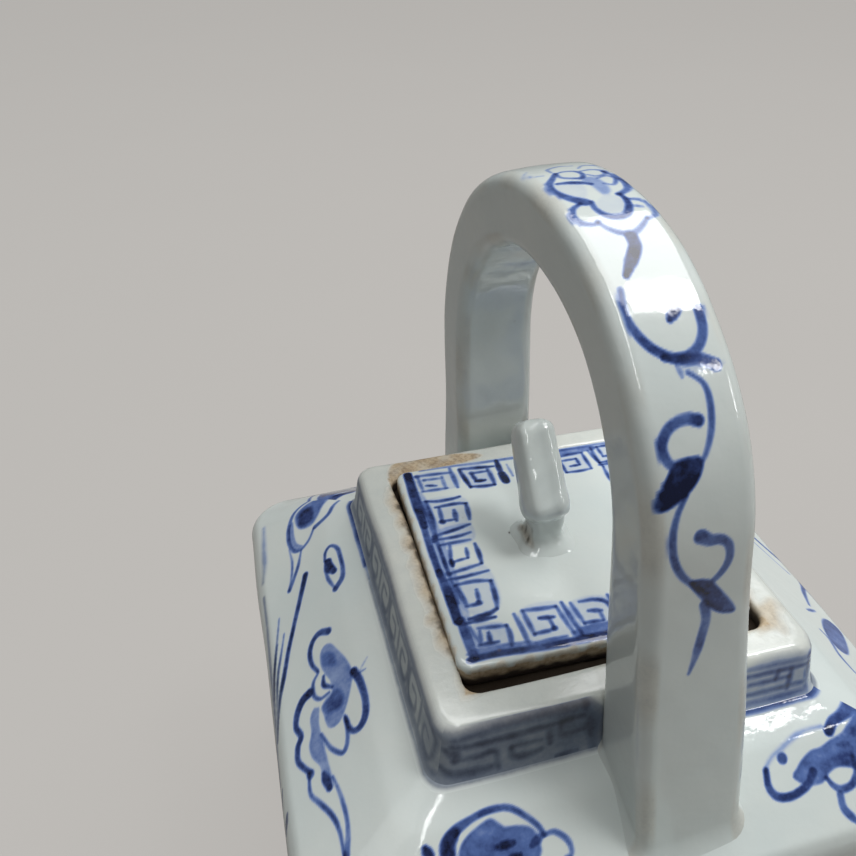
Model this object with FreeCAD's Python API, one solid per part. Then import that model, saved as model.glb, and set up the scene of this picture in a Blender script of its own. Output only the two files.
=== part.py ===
import FreeCAD, Part
import math
import os
from FreeCAD import Vector

# Square porcelain pot with a fixed overhead strap handle and a drop-in lid.
# Slab built: base, walls, shoulders and collar are separate slabs luted edge to edge.
# Millimetres, +Z up, origin in the middle of the foot on the table. The spout points to -Y.

# Body
body_width = 113.0
body_depth = 107.5
body_corner = 9.0
wall = 5.0
foot_height = 5.0
foot_inset = 8.0
foot_width = 7.0
foot_inner_corner = 2.5
base_thickness = 6.0
base_edge = 3.0
shoulder_height = 77.5
shoulder_rise = 12.5
shoulder_round = 6.0
shoulder_thickness = 5.0
shoulder_lip = 3.0
wall_joint_drop = 1.0

# Collar, mouth and seat
mouth_width = 54.0
mouth_depth = 56.0
mouth_corner = 3.0
mouth_bevel = 0.7
collar_wall = 5.0
collar_height = 10.0
collar_flare = 1.5
collar_corner = 3.4
rim_round = 1.4
seat_drop = 3.0
seat_thickness = 4.5
seat_ledge = 4.5
seat_corner = 1.5

# Lid
lid_side_clearance = 1.5
lid_end_clearance = 2.5
lid_corner = 2.4
lid_thickness = 4.5
lid_edge_round = 0.9
lid_shift_x = 0.2
lid_shift_y = 0.9
lid_turn_deg = -1.2
flange_clearance = 1.8
flange_wall = 3.0
flange_depth = 8.0
flange_corner = 2.4
flange_inner_corner = 1.0

# Knob: a short post carrying a bar that leans back and overhangs the post in front
knob_shift_x = -4.0
knob_shift_y = 0.0
knob_foot_height = 10.0
knob_foot_size = 5.6
knob_foot_spread = 1.4
knob_bar_height = 7.1
knob_overhang = 2.6
knob_width = 6.6
knob_depth = 6.6
knob_length = 17.5
knob_corner = 2.2
knob_end_round = 1.6
knob_lean_deg = 30.0

# Strap handle
handle_spring_height = 24.0
handle_gap = 0.8
handle_thickness = 11.4
handle_inner_splay_deg = 4.5
handle_outer_splay_deg = 9.0
handle_top_width = 14.8
handle_foot_width = 18.4
handle_round = 2.6
handle_shift_x = 1.9
handle_shift_y = 0.3
handle_yaw_deg = 1.8
handle_lean_deg = -2.0
handle_tilt_deg = -4.2
handle_root = 10.0

# Spout
spout_base_height = 40.0
spout_base_width = 30.0
spout_base_rise = 34.0
spout_tip_width = 15.0
spout_reach = 31.0
spout_tip_drop = 5.0
spout_end_deg = 58.0
spout_climb = 1.3
spout_wall = 3.5
spout_corner_share = 0.3
spout_steps = 8
strainer_hole = 3.5
strainer_pitch = 6.0
strainer_columns = 3
strainer_rows = 4

# How finely round edges are stepped, and how far cutting shapes run past what they cut
round_steps = 3
shoulder_steps = 5
overrun = 1.0

# Heights and half sizes that follow from these
base_top = foot_height + base_thickness
collar_base = shoulder_height + shoulder_rise
rim_height = collar_base + collar_height
half_width = body_width / 2
half_depth = body_depth / 2
mouth_half_width = mouth_width / 2
mouth_half_depth = mouth_depth / 2
rim_half_width = mouth_half_width + collar_wall
rim_half_depth = mouth_half_depth + collar_wall
collar_half_width = rim_half_width + collar_flare
collar_half_depth = rim_half_depth + collar_flare
seat_top = rim_height - seat_drop
seat_half_width = mouth_half_width - seat_ledge
seat_half_depth = mouth_half_depth - seat_ledge
lid_half_width = mouth_half_width - lid_side_clearance
lid_half_depth = mouth_half_depth - lid_end_clearance
lid_top = seat_top + lid_thickness


def outline(half_x, half_y, corner, height):
    """Rectangle with round corners, as a wire lying at one height."""
    bend = corner * (1 - math.sqrt(0.5))
    arcs = []
    for sign_x, sign_y in ((1, -1), (1, 1), (-1, 1), (-1, -1)):
        on_x = Vector(sign_x * (half_x - corner), sign_y * half_y, height)
        on_y = Vector(sign_x * half_x, sign_y * (half_y - corner), height)
        middle = Vector(sign_x * (half_x - bend), sign_y * (half_y - bend), height)
        first, last = (on_x, on_y) if sign_x != sign_y else (on_y, on_x)
        arcs.append((first, middle, last))
    edges = []
    for index, (first, middle, last) in enumerate(arcs):
        following = arcs[(index + 1) % len(arcs)][0]
        edges.append(Part.Arc(first, middle, last).toShape())
        edges.append(Part.LineSegment(last, following).toShape())
    return Part.Wire(edges)


def column(half_x, half_y, corner, low, high):
    face = Part.Face(outline(half_x, half_y, corner, low))
    return face.extrude(Vector(0, 0, high - low))


def stack(levels):
    """Solid through outlines given as (half_x, half_y, corner, height)."""
    return Part.makeLoft([outline(*level) for level in levels], True, True)


def quarter_round(radius):
    """Inset and rise of points along a quarter circle, from the side to the end face."""
    points = []
    for step in range(round_steps + 1):
        angle = math.pi / 2 * step / round_steps
        points.append((radius * (1 - math.cos(angle)), radius * math.sin(angle)))
    return points


def shrunk(half_x, half_y, corner, inset, height):
    """Outline drawn in by an inset, with its corners in proportion."""
    return half_x - inset, half_y - inset, corner * (half_x - inset) / half_x, height


def soft_slab(half_x, half_y, corner, low, high, low_round, high_round=0):
    """Slab whose lower and upper edges are rounded."""
    levels = []
    for inset, rise in reversed(quarter_round(low_round)):
        levels.append(shrunk(half_x, half_y, corner, inset, low + low_round - rise))
    if not high_round:
        return stack(levels + [(half_x, half_y, corner, high)])
    for inset, rise in quarter_round(high_round):
        levels.append(shrunk(half_x, half_y, corner, inset, high - high_round + rise))
    return stack(levels)


def ring(outer, inner, low, high):
    """Flat ring between two (half_x, half_y, corner) outlines."""
    return column(*outer, low, high).cut(column(*inner, low - overrun, high + overrun))


def prism(points, low, high):
    corners = [Vector(x, y, low) for x, y in points]
    face = Part.Face(Part.makePolygon(corners + corners[:1]))
    return face.extrude(Vector(0, 0, high - low))


def four_sides(shell, corner, toward):
    """Cuts a square shell into its four slabs, along the mitre line from a corner point
    through the point toward, which lies further in."""
    step_x = corner[0] - toward[0]
    step_y = corner[1] - toward[1]
    inward = min((corner[0] - overrun) / step_x, (corner[1] - overrun) / step_y)
    near_x = corner[0] - inward * step_x
    near_y = corner[1] - inward * step_y
    outward = (body_corner + wall) / min(step_x, step_y)
    far_x = corner[0] + outward * step_x
    far_y = corner[1] + outward * step_y
    box = shell.BoundBox
    plans = {
        "front": [(-far_x, -far_y), (far_x, -far_y), (near_x, -near_y), (-near_x, -near_y)],
        "back": [(far_x, far_y), (-far_x, far_y), (-near_x, near_y), (near_x, near_y)],
        "left": [(-far_x, far_y), (-far_x, -far_y), (-near_x, -near_y), (-near_x, near_y)],
        "right": [(far_x, -far_y), (far_x, far_y), (near_x, near_y), (near_x, -near_y)],
    }
    slabs = {}
    for side, plan in plans.items():
        slabs[side] = shell.common(prism(plan, box.ZMin - overrun, box.ZMax + overrun))
    return slabs


def shoulder_line(half, inner_half):
    """Angle of one shoulder slope and how far its rounding reaches down the wall."""
    slope = math.atan2(shoulder_rise, half - inner_half)
    reach = shoulder_round * math.tan((math.pi / 2 - slope) / 2)
    return slope, reach


def shoulder_offset(half, inner_half, height):
    """Half size of the shoulder at a height: wall, then rounding, then slope."""
    slope, reach = shoulder_line(half, inner_half)
    centre = shoulder_height - reach
    if height <= centre:
        return half
    if height < centre + shoulder_round * math.cos(slope):
        return half - shoulder_round + math.sqrt(shoulder_round ** 2 - (height - centre) ** 2)
    return half - (height - shoulder_height) / math.tan(slope)


def shoulder_levels():
    slope_x, reach_x = shoulder_line(half_width, collar_half_width)
    slope_y, reach_y = shoulder_line(half_depth, collar_half_depth)
    low = shoulder_height - max(reach_x, reach_y)
    high_x = shoulder_height - reach_x + shoulder_round * math.cos(slope_x)
    high_y = shoulder_height - reach_y + shoulder_round * math.cos(slope_y)
    high = max(high_x, high_y)
    heights = [low + (high - low) * step / shoulder_steps for step in range(shoulder_steps + 1)]
    levels = []
    for height in heights + [collar_base]:
        x = shoulder_offset(half_width, collar_half_width, height)
        y = shoulder_offset(half_depth, collar_half_depth, height)
        share = (half_width - x) / (half_width - collar_half_width)
        levels.append((x, y, body_corner + (collar_corner - body_corner) * share, height))
    return levels


def wall_joint():
    """Height of the flat joint between the walls and the shoulder slabs, just under the rounding."""
    return shoulder_levels()[0][3] - wall_joint_drop


def shoulder_solid():
    return stack([(half_width, half_depth, body_corner, wall_joint())] + shoulder_levels())


def cavity():
    """The room inside the pot, from the base slab up through the mouth."""
    slope, _ = shoulder_line(half_width, collar_half_width)
    turn = shoulder_height + wall * math.tan(slope) - shoulder_thickness / math.cos(slope)
    inner_corner = max(body_corner - wall, mouth_corner)
    lip = collar_base - shoulder_lip
    inside_x = half_width - wall
    inside_y = half_depth - wall
    room = stack([
        (inside_x, inside_y, inner_corner, base_top),
        (inside_x, inside_y, inner_corner, turn),
        (mouth_half_width, mouth_half_depth, mouth_corner, lip),
    ])
    mouth = column(mouth_half_width, mouth_half_depth, mouth_corner, lip - overrun, rim_height + overrun)
    return room.fuse(mouth)


def base_slab():
    return soft_slab(half_width, half_depth, body_corner, foot_height, base_top, base_edge)


def foot_ring():
    half_x = half_width - foot_inset
    half_y = half_depth - foot_inset
    inner = (half_x - foot_width, half_y - foot_width, foot_inner_corner)
    return ring((half_x, half_y, body_corner), inner, 0, foot_height)


def walls():
    shell = column(half_width, half_depth, body_corner, base_top, wall_joint()).cut(cavity())
    slabs = four_sides(shell, (half_width, half_depth), (half_width - wall, half_depth - wall))
    slabs["front"] = slabs["front"].cut(strainer())
    return slabs


def shoulders():
    shell = shoulder_solid().cut(cavity())
    return four_sides(shell, (half_width, half_depth), (collar_half_width, collar_half_depth))


def collar_solid():
    levels = [(collar_half_width, collar_half_depth, collar_corner, collar_base)]
    for inset, rise in quarter_round(rim_round):
        height = rim_height - rim_round + rise
        levels.append(shrunk(rim_half_width, rim_half_depth, collar_corner, inset, height))
    return stack(levels)


def collar():
    bevel = stack([
        (mouth_half_width, mouth_half_depth, mouth_corner, rim_height - mouth_bevel),
        (mouth_half_width + mouth_bevel, mouth_half_depth + mouth_bevel, mouth_corner, rim_height),
    ])
    shell = collar_solid().cut(cavity()).cut(bevel)
    inner = (collar_half_width - collar_wall, collar_half_depth - collar_wall)
    return four_sides(shell, (collar_half_width, collar_half_depth), inner)


def lid_seat():
    outer = (mouth_half_width, mouth_half_depth, mouth_corner)
    inner = (seat_half_width, seat_half_depth, seat_corner)
    return ring(outer, inner, seat_top - seat_thickness, seat_top)


def lay_lid(shape):
    """Moves a lid piece from the middle of the mouth to where the loose lid lies."""
    shape.rotate(Vector(0, 0, 0), Vector(0, 0, 1), lid_turn_deg)
    shape.translate(Vector(lid_shift_x, lid_shift_y, 0))
    return shape


def lid_plate():
    soft = lid_edge_round
    return lay_lid(soft_slab(lid_half_width, lid_half_depth, lid_corner, seat_top, lid_top, soft, soft))


def lid_flange():
    half_x = seat_half_width - flange_clearance
    half_y = seat_half_depth - flange_clearance
    inner = (half_x - flange_wall, half_y - flange_wall, flange_inner_corner)
    return lay_lid(ring((half_x, half_y, flange_corner), inner, seat_top - flange_depth, seat_top))


def lid_knob():
    foot = knob_foot_size / 2
    levels = []
    for inset, rise in quarter_round(knob_foot_spread):
        half = foot + knob_foot_spread - rise
        levels.append((half, half, knob_corner, lid_top + inset))
    post = stack(levels + [(foot, foot, knob_corner, lid_top + knob_foot_height)])
    soft = knob_end_round
    bar = soft_slab(knob_width / 2, knob_depth / 2, knob_corner, 0, knob_length, soft, soft)
    bar.rotate(Vector(0, 0, 0), Vector(1, 0, 0), -knob_lean_deg)
    bar.translate(Vector(0, -knob_overhang, lid_top + knob_bar_height))
    knob = post.fuse(bar).removeSplitter()
    knob.translate(Vector(knob_shift_x, knob_shift_y, 0))
    return lay_lid(knob)


def arch_face(radius, splay_deg, centre, low):
    """Filled arch in the YZ plane: a round crown on two legs that splay outwards."""
    splay = math.radians(splay_deg)
    bend_y = radius * math.cos(splay)
    bend_z = centre + radius * math.sin(splay)
    toe_y = bend_y + (bend_z - low) * math.tan(splay)
    right_toe = Vector(0, toe_y, low)
    right_bend = Vector(0, bend_y, bend_z)
    crown = Vector(0, 0, centre + radius)
    left_bend = Vector(0, -bend_y, bend_z)
    left_toe = Vector(0, -toe_y, low)
    edges = [
        Part.LineSegment(right_toe, right_bend).toShape(),
        Part.Arc(right_bend, crown, left_bend).toShape(),
        Part.LineSegment(left_bend, left_toe).toShape(),
        Part.LineSegment(left_toe, right_toe).toShape(),
    ]
    return Part.Face(Part.Wire(edges))


def long_edges(strap, low):
    """Edges that run the length of the strap: all but those of its two cut ends and its bends."""
    chosen = []
    for edge in strap.Edges:
        middle = edge.valueAt((edge.FirstParameter + edge.LastParameter) / 2)
        first = edge.valueAt(edge.FirstParameter)
        last = edge.valueAt(edge.LastParameter)
        runs_across = abs(first.x - last.x) > handle_top_width / 2
        if middle.z > low + overrun and not runs_across:
            chosen.append(edge)
    return chosen


def handle_strap():
    """Strap bent over the lid, wider at its feet, cut to the shoulders that it stands on."""
    centre = rim_height + handle_spring_height
    splay = math.radians(handle_inner_splay_deg)
    leg = rim_half_depth + handle_gap - handle_spring_height * math.tan(splay)
    inner_radius = leg * math.cos(splay)
    outer_radius = inner_radius + handle_thickness
    low = shoulder_height - handle_root
    top = centre + outer_radius
    foot = handle_foot_width / 2
    crown = handle_top_width / 2
    outer = arch_face(outer_radius, handle_outer_splay_deg, centre, low)
    inner = arch_face(inner_radius, handle_inner_splay_deg, centre, low)
    block = outer.cut(inner).extrude(Vector(2 * handle_foot_width, 0, 0))
    block.translate(Vector(-handle_foot_width, 0, 0))
    span = half_depth + handle_thickness
    corners = [
        Vector(-foot, -span, low),
        Vector(foot, -span, low),
        Vector(crown, -span, top),
        Vector(-crown, -span, top),
    ]
    taper = Part.Face(Part.makePolygon(corners + corners[:1])).extrude(Vector(0, 2 * span, 0))
    strap = block.common(taper).Solids[0]
    strap = strap.makeFillet(min(handle_round, handle_thickness / 4), long_edges(strap, low))
    pivot = Vector(0, 0, shoulder_height)
    strap.rotate(pivot, Vector(0, 0, 1), handle_yaw_deg)
    strap.rotate(pivot, Vector(0, 1, 0), handle_lean_deg)
    strap.rotate(pivot, Vector(1, 0, 0), handle_tilt_deg)
    strap.translate(Vector(handle_shift_x, handle_shift_y, 0))
    body = column(half_width, half_depth, body_corner, base_top, wall_joint())
    return strap.cut(body.fuse(shoulder_solid()).fuse(collar_solid()))


def spout_sections(trim):
    """Round-cornered squares from the wall to the tip, turning upwards; trim thins them for the bore."""
    sections = []
    tip_height = rim_height - spout_tip_drop
    for step in range(spout_steps + 1):
        share = step / spout_steps
        reach = spout_reach * math.sin(math.pi / 2 * share)
        height = spout_base_height + (tip_height - spout_base_height) * share ** spout_climb
        width = spout_base_width + (spout_tip_width - spout_base_width) * share
        rise = spout_base_rise + (spout_tip_width - spout_base_rise) * share
        half_x = width / 2 - trim
        half_y = rise / 2 - trim
        section = outline(half_x, half_y, spout_corner_share * min(half_x, half_y), 0)
        section.rotate(Vector(0, 0, 0), Vector(1, 0, 0), 90 - spout_end_deg * share)
        section.translate(Vector(0, -half_depth - reach, height))
        sections.append(section)
    return sections


def spout():
    outside = Part.makeLoft(spout_sections(0), True, True)
    bore = Part.makeLoft(spout_sections(spout_wall), True, True)
    return outside.cut(bore)


def strainer():
    """Small holes through the front wall, inside the foot of the spout."""
    holes = []
    for across in range(strainer_columns):
        for up in range(strainer_rows):
            x = (across - (strainer_columns - 1) / 2) * strainer_pitch
            z = spout_base_height + (up - (strainer_rows - 1) / 2) * strainer_pitch
            start = Vector(x, -half_depth - overrun, z)
            holes.append(Part.makeCylinder(strainer_hole / 2, wall + 2 * overrun, start, Vector(0, 1, 0)))
    return Part.makeCompound(holes)


def build():
    pieces = {"base_slab": base_slab(), "foot_ring": foot_ring()}
    for name, slabs in (("wall", walls()), ("shoulder", shoulders()), ("collar", collar())):
        for side, slab in slabs.items():
            pieces[name + "_" + side] = slab
    pieces["lid_seat"] = lid_seat()
    pieces["handle_strap"] = handle_strap()
    pieces["spout"] = spout()
    pieces["lid_plate"] = lid_plate()
    pieces["lid_flange"] = lid_flange()
    pieces["lid_knob"] = lid_knob()
    return pieces


os.makedirs("parts", exist_ok=True)
for node, shape in build().items():
    print(node, "solids", len(shape.Solids), "valid", shape.isValid(), "volume", round(shape.Volume))
    shape.exportStep("parts/" + node + ".step")
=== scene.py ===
import math
import bmesh
import bpy
import numpy as np
from mathutils import Matrix, Vector


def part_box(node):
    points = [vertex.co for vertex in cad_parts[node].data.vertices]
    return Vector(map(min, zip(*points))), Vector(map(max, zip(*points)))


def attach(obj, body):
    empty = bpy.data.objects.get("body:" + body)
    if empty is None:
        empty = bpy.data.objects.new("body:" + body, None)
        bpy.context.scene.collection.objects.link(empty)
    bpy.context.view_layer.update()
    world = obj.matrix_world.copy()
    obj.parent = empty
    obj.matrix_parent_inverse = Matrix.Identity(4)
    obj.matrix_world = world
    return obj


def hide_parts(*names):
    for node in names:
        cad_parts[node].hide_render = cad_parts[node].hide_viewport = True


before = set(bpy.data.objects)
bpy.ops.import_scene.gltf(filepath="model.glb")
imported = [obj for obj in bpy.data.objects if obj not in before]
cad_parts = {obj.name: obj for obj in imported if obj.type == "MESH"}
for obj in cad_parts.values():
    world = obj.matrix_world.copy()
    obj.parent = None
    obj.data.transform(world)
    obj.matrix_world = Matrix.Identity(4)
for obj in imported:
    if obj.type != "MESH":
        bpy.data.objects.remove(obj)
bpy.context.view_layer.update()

# Sizes of the pot, in millimetres
MM = 0.001
SIDES = ("front", "back", "left", "right")
ACROSS = ("front", "back")


def low(node, axis):
    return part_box(node)[0][axis] / MM


def high(node, axis):
    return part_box(node)[1][axis] / MM


half_width = high("wall_right", 0)
half_depth = high("wall_back", 1)
wall_low = low("wall_front", 2)
wall_high = high("wall_front", 2)
wall_thickness = 5.0
body_corner = 9.0
cavity_corner = 4.0
shoulder_height = 77.5
cavity_turn = 74.6
shoulder_edge_trim = 3.6
shoulder_lip = 3.0
shoulder_dome = 1.25
shoulder_knee = 0.74
shoulder_knee_softness = 9.0
collar_low = low("collar_front", 2)
rim_height = high("collar_front", 2)
collar_half_width = high("collar_right", 0)
collar_half_depth = high("collar_back", 1)
collar_flare = 1.5
collar_corner = 3.4
rim_half_width = collar_half_width - collar_flare
rim_half_depth = collar_half_depth - collar_flare
mouth_half_width = low("collar_right", 0)
mouth_half_depth = low("collar_back", 1)
mouth_corner = 3.0
slip_fillet = 2.4
rim_trim = 2.5
mouth_trim = 1.3
hand_wobble = 0.22
hand_reaches = (14.0, 13.0, 15.0)
hand_offsets = (0.0, 31.0, 67.0)
still_foot = 15.0
wall_pitch = 0.6
paint_pitch = 0.33
rim_pitch = 0.4
inner_pitch = 1.5
arc_share = 0.9
slab_columns = 300
off_canvas = 1000.0
weld_gap = 0.004
sharp_turn = math.radians(38.0)


# Curves and grids shared by the pieces
def between(ends, share):
    return ends[0] + (ends[1] - ends[0]) * share


def fade(room, over=1.0, most=1.0):
    """How strong something is that grows from none to full over a length."""
    return np.clip(room / over, 0, most)


def along_points(start, end, pitch):
    count = max(2, int(np.linalg.norm(end - start) / pitch) + 1)
    return [between((start, end), share) for share in np.linspace(0, 1, count)[:-1]]


def rounded_path(points, trims, pitches):
    """A path through the points whose inner corners are rounded, each by its own trim."""
    points = [np.array(point, float) for point in points]
    path = []
    here = points[0]
    for index, trim in enumerate(trims):
        corner, after = points[index + 1], points[index + 2]
        enter = corner + (points[index] - corner) * trim / np.linalg.norm(points[index] - corner)
        leave = corner + (after - corner) * trim / np.linalg.norm(after - corner)
        path += along_points(here, enter, pitches[index])
        count = max(4, int(2 * trim / min(pitches[index], pitches[index + 1])))
        for share in np.linspace(0, 1, count)[:-1]:
            bend = 2 * corner * share * (1 - share)
            path.append(enter * (1 - share) ** 2 + bend + leave * share ** 2)
        here = leave
    path += along_points(here, points[-1], pitches[-1])
    path.append(points[-1])
    return np.array(path)


def ripple(point, reach):
    """A slow, uneven wave over the piece, as a hand leaves it. Between -1 and 1."""
    x, y, z = point[..., 0] / reach, point[..., 1] / reach, point[..., 2] / reach
    first = np.sin(2.1 * x + 1.3 * y - 1.7 * z + 0.4)
    second = np.sin(-1.4 * x + 2.3 * y + 1.1 * z + 2.0)
    third = np.sin(3.3 * x - 2.9 * y + 2.6 * z + 4.1)
    return (first + second + 0.7 * third) / 2.7


def hand_made(point):
    """The point moved a little, alike for every slab of the pot."""
    rise = fade(point[..., 2] - wall_low, still_foot)[..., None]
    waves = [ripple(point + offset, reach) for offset, reach in zip(hand_offsets, hand_reaches)]
    return point + hand_wobble * rise * np.stack(waves, -1)


def vertex_rows(mesh, what="co"):
    """Where the vertices of a mesh lie, or which way they face, one row each."""
    values = np.empty(len(mesh.vertices) * 3)
    mesh.vertices.foreach_get(what, values)
    return values.reshape(-1, 3)


def mesh_from(name, shape):
    mesh = bpy.data.meshes.new(name)
    shape.to_mesh(mesh)
    shape.free()
    return mesh


def add_object(name, data):
    thing = bpy.data.objects.new(name, data)
    bpy.context.scene.collection.objects.link(thing)
    return thing


def grid_mesh(columns, rows):
    """A flat grid as a mesh, with the column and the row of each of its vertices."""
    sheet = bmesh.new()
    bmesh.ops.create_grid(sheet, x_segments=columns, y_segments=rows, size=1.0)
    mesh = mesh_from("sheet", sheet)
    shares = (vertex_rows(mesh)[:, :2] + 1) / 2
    column, row = np.rint(shares * (columns, rows)).astype(int).T
    return mesh, column, row


def keep_layer(mesh, name, values):
    layer = mesh.attributes.new(name, "FLOAT", "POINT")
    layer.data.foreach_set("value", np.ascontiguousarray(values, dtype=np.float32))


def close_piece(name, mesh, points, canvas, body, nodes):
    """Bends the grid to its points, keeps its paint, welds its seam, closes its ends and places it."""
    mesh.vertices.foreach_set("co", np.ascontiguousarray(points * MM, dtype=np.float32).ravel())
    for layer, values in canvas.layers.items():
        keep_layer(mesh, layer, values)
    shape = bmesh.new()
    shape.from_mesh(mesh)
    bpy.data.meshes.remove(mesh)
    bmesh.ops.remove_doubles(shape, verts=shape.verts, dist=weld_gap * MM)
    open_edges = [edge for edge in shape.edges if edge.is_boundary]
    if open_edges:
        bmesh.ops.edgeloop_fill(shape, edges=open_edges)
    bmesh.ops.recalc_face_normals(shape, faces=shape.faces)
    for edge in shape.edges:
        edge.smooth = edge.calc_face_angle(0.0) < sharp_turn
    place_piece(name, shape, body, nodes)


def place_piece(name, shape, body, nodes):
    mesh = mesh_from(name, shape)
    for polygon in mesh.polygons:
        polygon.use_smooth = True
    piece = add_object(name, mesh)
    piece.data.materials.append(glazed_porcelain)
    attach(piece, body)
    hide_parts(*nodes)


# Brushwork: cobalt laid on a face, in millimetres on that face
brush_taper = 0.35
brush_pool_run = 0.08
brush_pool = 0.15
brush_waver = 0.08
brush_turns = 9.0
dab_softness = 0.4
wash_pool_run = 0.6
wash_pool = 0.25
# The last layer is dark brown: tea stain, and painted shade in gaps and down the mouth.
LAYERS = ("pigment", "ash", "bare", "stain_and_shade")


class Canvas:
    """A painted face: where each vertex lies on it, in millimetres, and what is laid on it there.

    pigment is cobalt, ash how grey it fired, bare where there is no glaze, and the last layer
    dark brown, both where tea or soot has soaked in and as painted shade in gaps and down the mouth.
    """

    def __init__(self, u, v, layers=None):
        self.u = u
        self.v = v
        self.layers = layers or {name: np.zeros(len(u)) for name in LAYERS}
        self.pigment = self.layers["pigment"]

    def placed(self, u, v, size=1.0, turn=0.0, flip=1):
        """The same face seen from a motif's own middle, turned, sized or mirrored."""
        angle = math.radians(turn)
        du, dv = self.u - u, self.v - v
        across = flip * (du * math.cos(angle) + dv * math.sin(angle)) / size
        up = (dv * math.cos(angle) - du * math.sin(angle)) / size
        return Canvas(across, up, self.layers)

    def cover(self, layer, amount):
        """Adds to a layer where the amount is more than what is there."""
        self.layers[layer][:] = np.maximum(self.layers[layer], np.clip(amount, 0, 1))

    def near(self, line, reach):
        inside = (self.u > line[:, 0].min() - reach) & (self.u < line[:, 0].max() + reach)
        inside &= (self.v > line[:, 1].min() - reach) & (self.v < line[:, 1].max() + reach)
        return np.nonzero(inside)[0]

    def lay(self, spots, amount):
        self.pigment[spots] = 1 - (1 - self.pigment[spots]) * (1 - np.clip(amount, 0, 1))


def smooth_line(points, pitch=0.25, closed=False):
    """A soft curve through the points."""
    points = np.array(points, float)
    if closed:
        ends = np.vstack([points[-1:], points, points[:2]])
    else:
        ends = np.vstack([2 * points[:1] - points[1:2], points, 2 * points[-1:] - points[-2:-1]])
    line = []
    for before, start, end, after in zip(ends[:-3], ends[1:-2], ends[2:-1], ends[3:]):
        count = max(2, int(np.linalg.norm(end - start) / pitch) + 1)
        share = np.linspace(0, 1, count)[:-1, None]
        bend = 2 * before - 5 * start + 4 * end - after
        turn = 3 * start - before - 3 * end + after
        line.append(0.5 * (2 * start + (end - before) * share + bend * share ** 2 + turn * share ** 3))
    line.append(points[:1] if closed else points[-1:])
    return np.vstack(line)


def stroke(canvas, points, width, tone, ends=(0.6, 0.6), soft=0.42):
    """One brush stroke: its width goes to the given share at each end, and the cobalt pools there."""
    line = smooth_line(points)
    spots = canvas.near(line, width * max(1, *ends) + soft)
    if not len(spots):
        return
    share = np.linspace(0, 1, len(line))
    start = between((ends[0], 1), fade(share, brush_taper))
    finish = between((ends[1], 1), fade(1 - share, brush_taper))
    half = width / 2 * start * finish
    pooled = np.exp(-share / brush_pool_run) + np.exp(-(1 - share) / brush_pool_run)
    shade = tone * (1 + brush_pool * pooled - brush_waver * np.sin(brush_turns * share))
    gap = np.hypot(canvas.u[spots, None] - line[None, :, 0], canvas.v[spots, None] - line[None, :, 1])
    cover = fade(half[None] - gap + soft / 2, soft) * shade[None]
    canvas.lay(spots, cover.max(1))


def dab(canvas, u, v, radius, tone):
    """A blot where the brush came down."""
    spots = canvas.near(np.array([(u, v)]), radius * 2)
    gap = np.hypot(canvas.u[spots] - u, canvas.v[spots] - v)
    canvas.lay(spots, fade(radius - gap + dab_softness / 2, dab_softness) * tone)


def wash(canvas, points, tone, soft=0.5):
    """A patch of thin cobalt inside a soft outline, a little stronger at its edge."""
    line = smooth_line(points, pitch=0.6, closed=True)
    spots = canvas.near(line, soft)
    if not len(spots):
        return
    u, v = canvas.u[spots], canvas.v[spots]
    inside = np.zeros(len(spots), bool)
    gap = np.full(len(spots), off_canvas)
    for (u0, v0), (u1, v1) in zip(line[:-1], line[1:]):
        du, dv = u1 - u0, v1 - v0
        share = np.clip(((u - u0) * du + (v - v0) * dv) / (du * du + dv * dv + 1e-9), 0, 1)
        gap = np.minimum(gap, np.hypot(u - u0 - share * du, v - v0 - share * dv))
        if dv:
            crosses = (v0 > v) != (v1 > v)
            inside ^= crosses & (u < u0 + (v - v0) * du / dv)
    depth = np.where(inside, gap, -gap)
    cover = fade(depth + soft / 2, soft) * tone
    canvas.lay(spots, cover * (1 + wash_pool * np.exp(-gap / wash_pool_run)))


# Motifs of the lid
def fret(canvas, tone=0.6):
    """One key-fret unit, about six millimetres square, round its own middle."""
    wash(canvas, [(-3, 3), (3, 3), (3, -3), (-3, -3)], 0.1)
    stroke(canvas, [(-3.1, 3.0), (0, 3.0), (3.1, 2.8)], 0.85, tone)
    stroke(canvas, [(-3.0, 3.0), (-3.0, -3.0)], 0.8, tone)
    stroke(canvas, [(-3.0, -3.1), (0, -3.2), (2.9, -3.0)], 0.85, tone)
    stroke(canvas, [(2.9, -3.0), (2.9, 1.3)], 0.8, tone)
    stroke(canvas, [(2.9, 1.2), (-1.0, 1.2)], 0.75, tone)
    stroke(canvas, [(-1.0, 1.2), (-1.0, -1.0)], 0.75, tone)
    stroke(canvas, [(-1.0, -1.1), (1.2, -1.1)], 0.8, tone + 0.2)


def paint_lid(canvas):
    lid_left_border(canvas)
    lid_back_row(canvas)
    lid_left_column(canvas)
    lid_front_row(canvas)
    for place in (-21.4, -14.6, -7.8, -1.0, 5.8, 12.6, 19.6):
        fret(canvas.placed(19.0, place + 1.2, 0.88, 90 if place > 0 else -90), 0.55)
        stroke(canvas, [(22.0, place - 2.3), (16.0, place - 2.2)], 0.8, 0.55)
    stroke(canvas, [(23.4, 24.5), (23.6, 0), (23.4, -24.2)], 1.5, 0.8)


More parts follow.
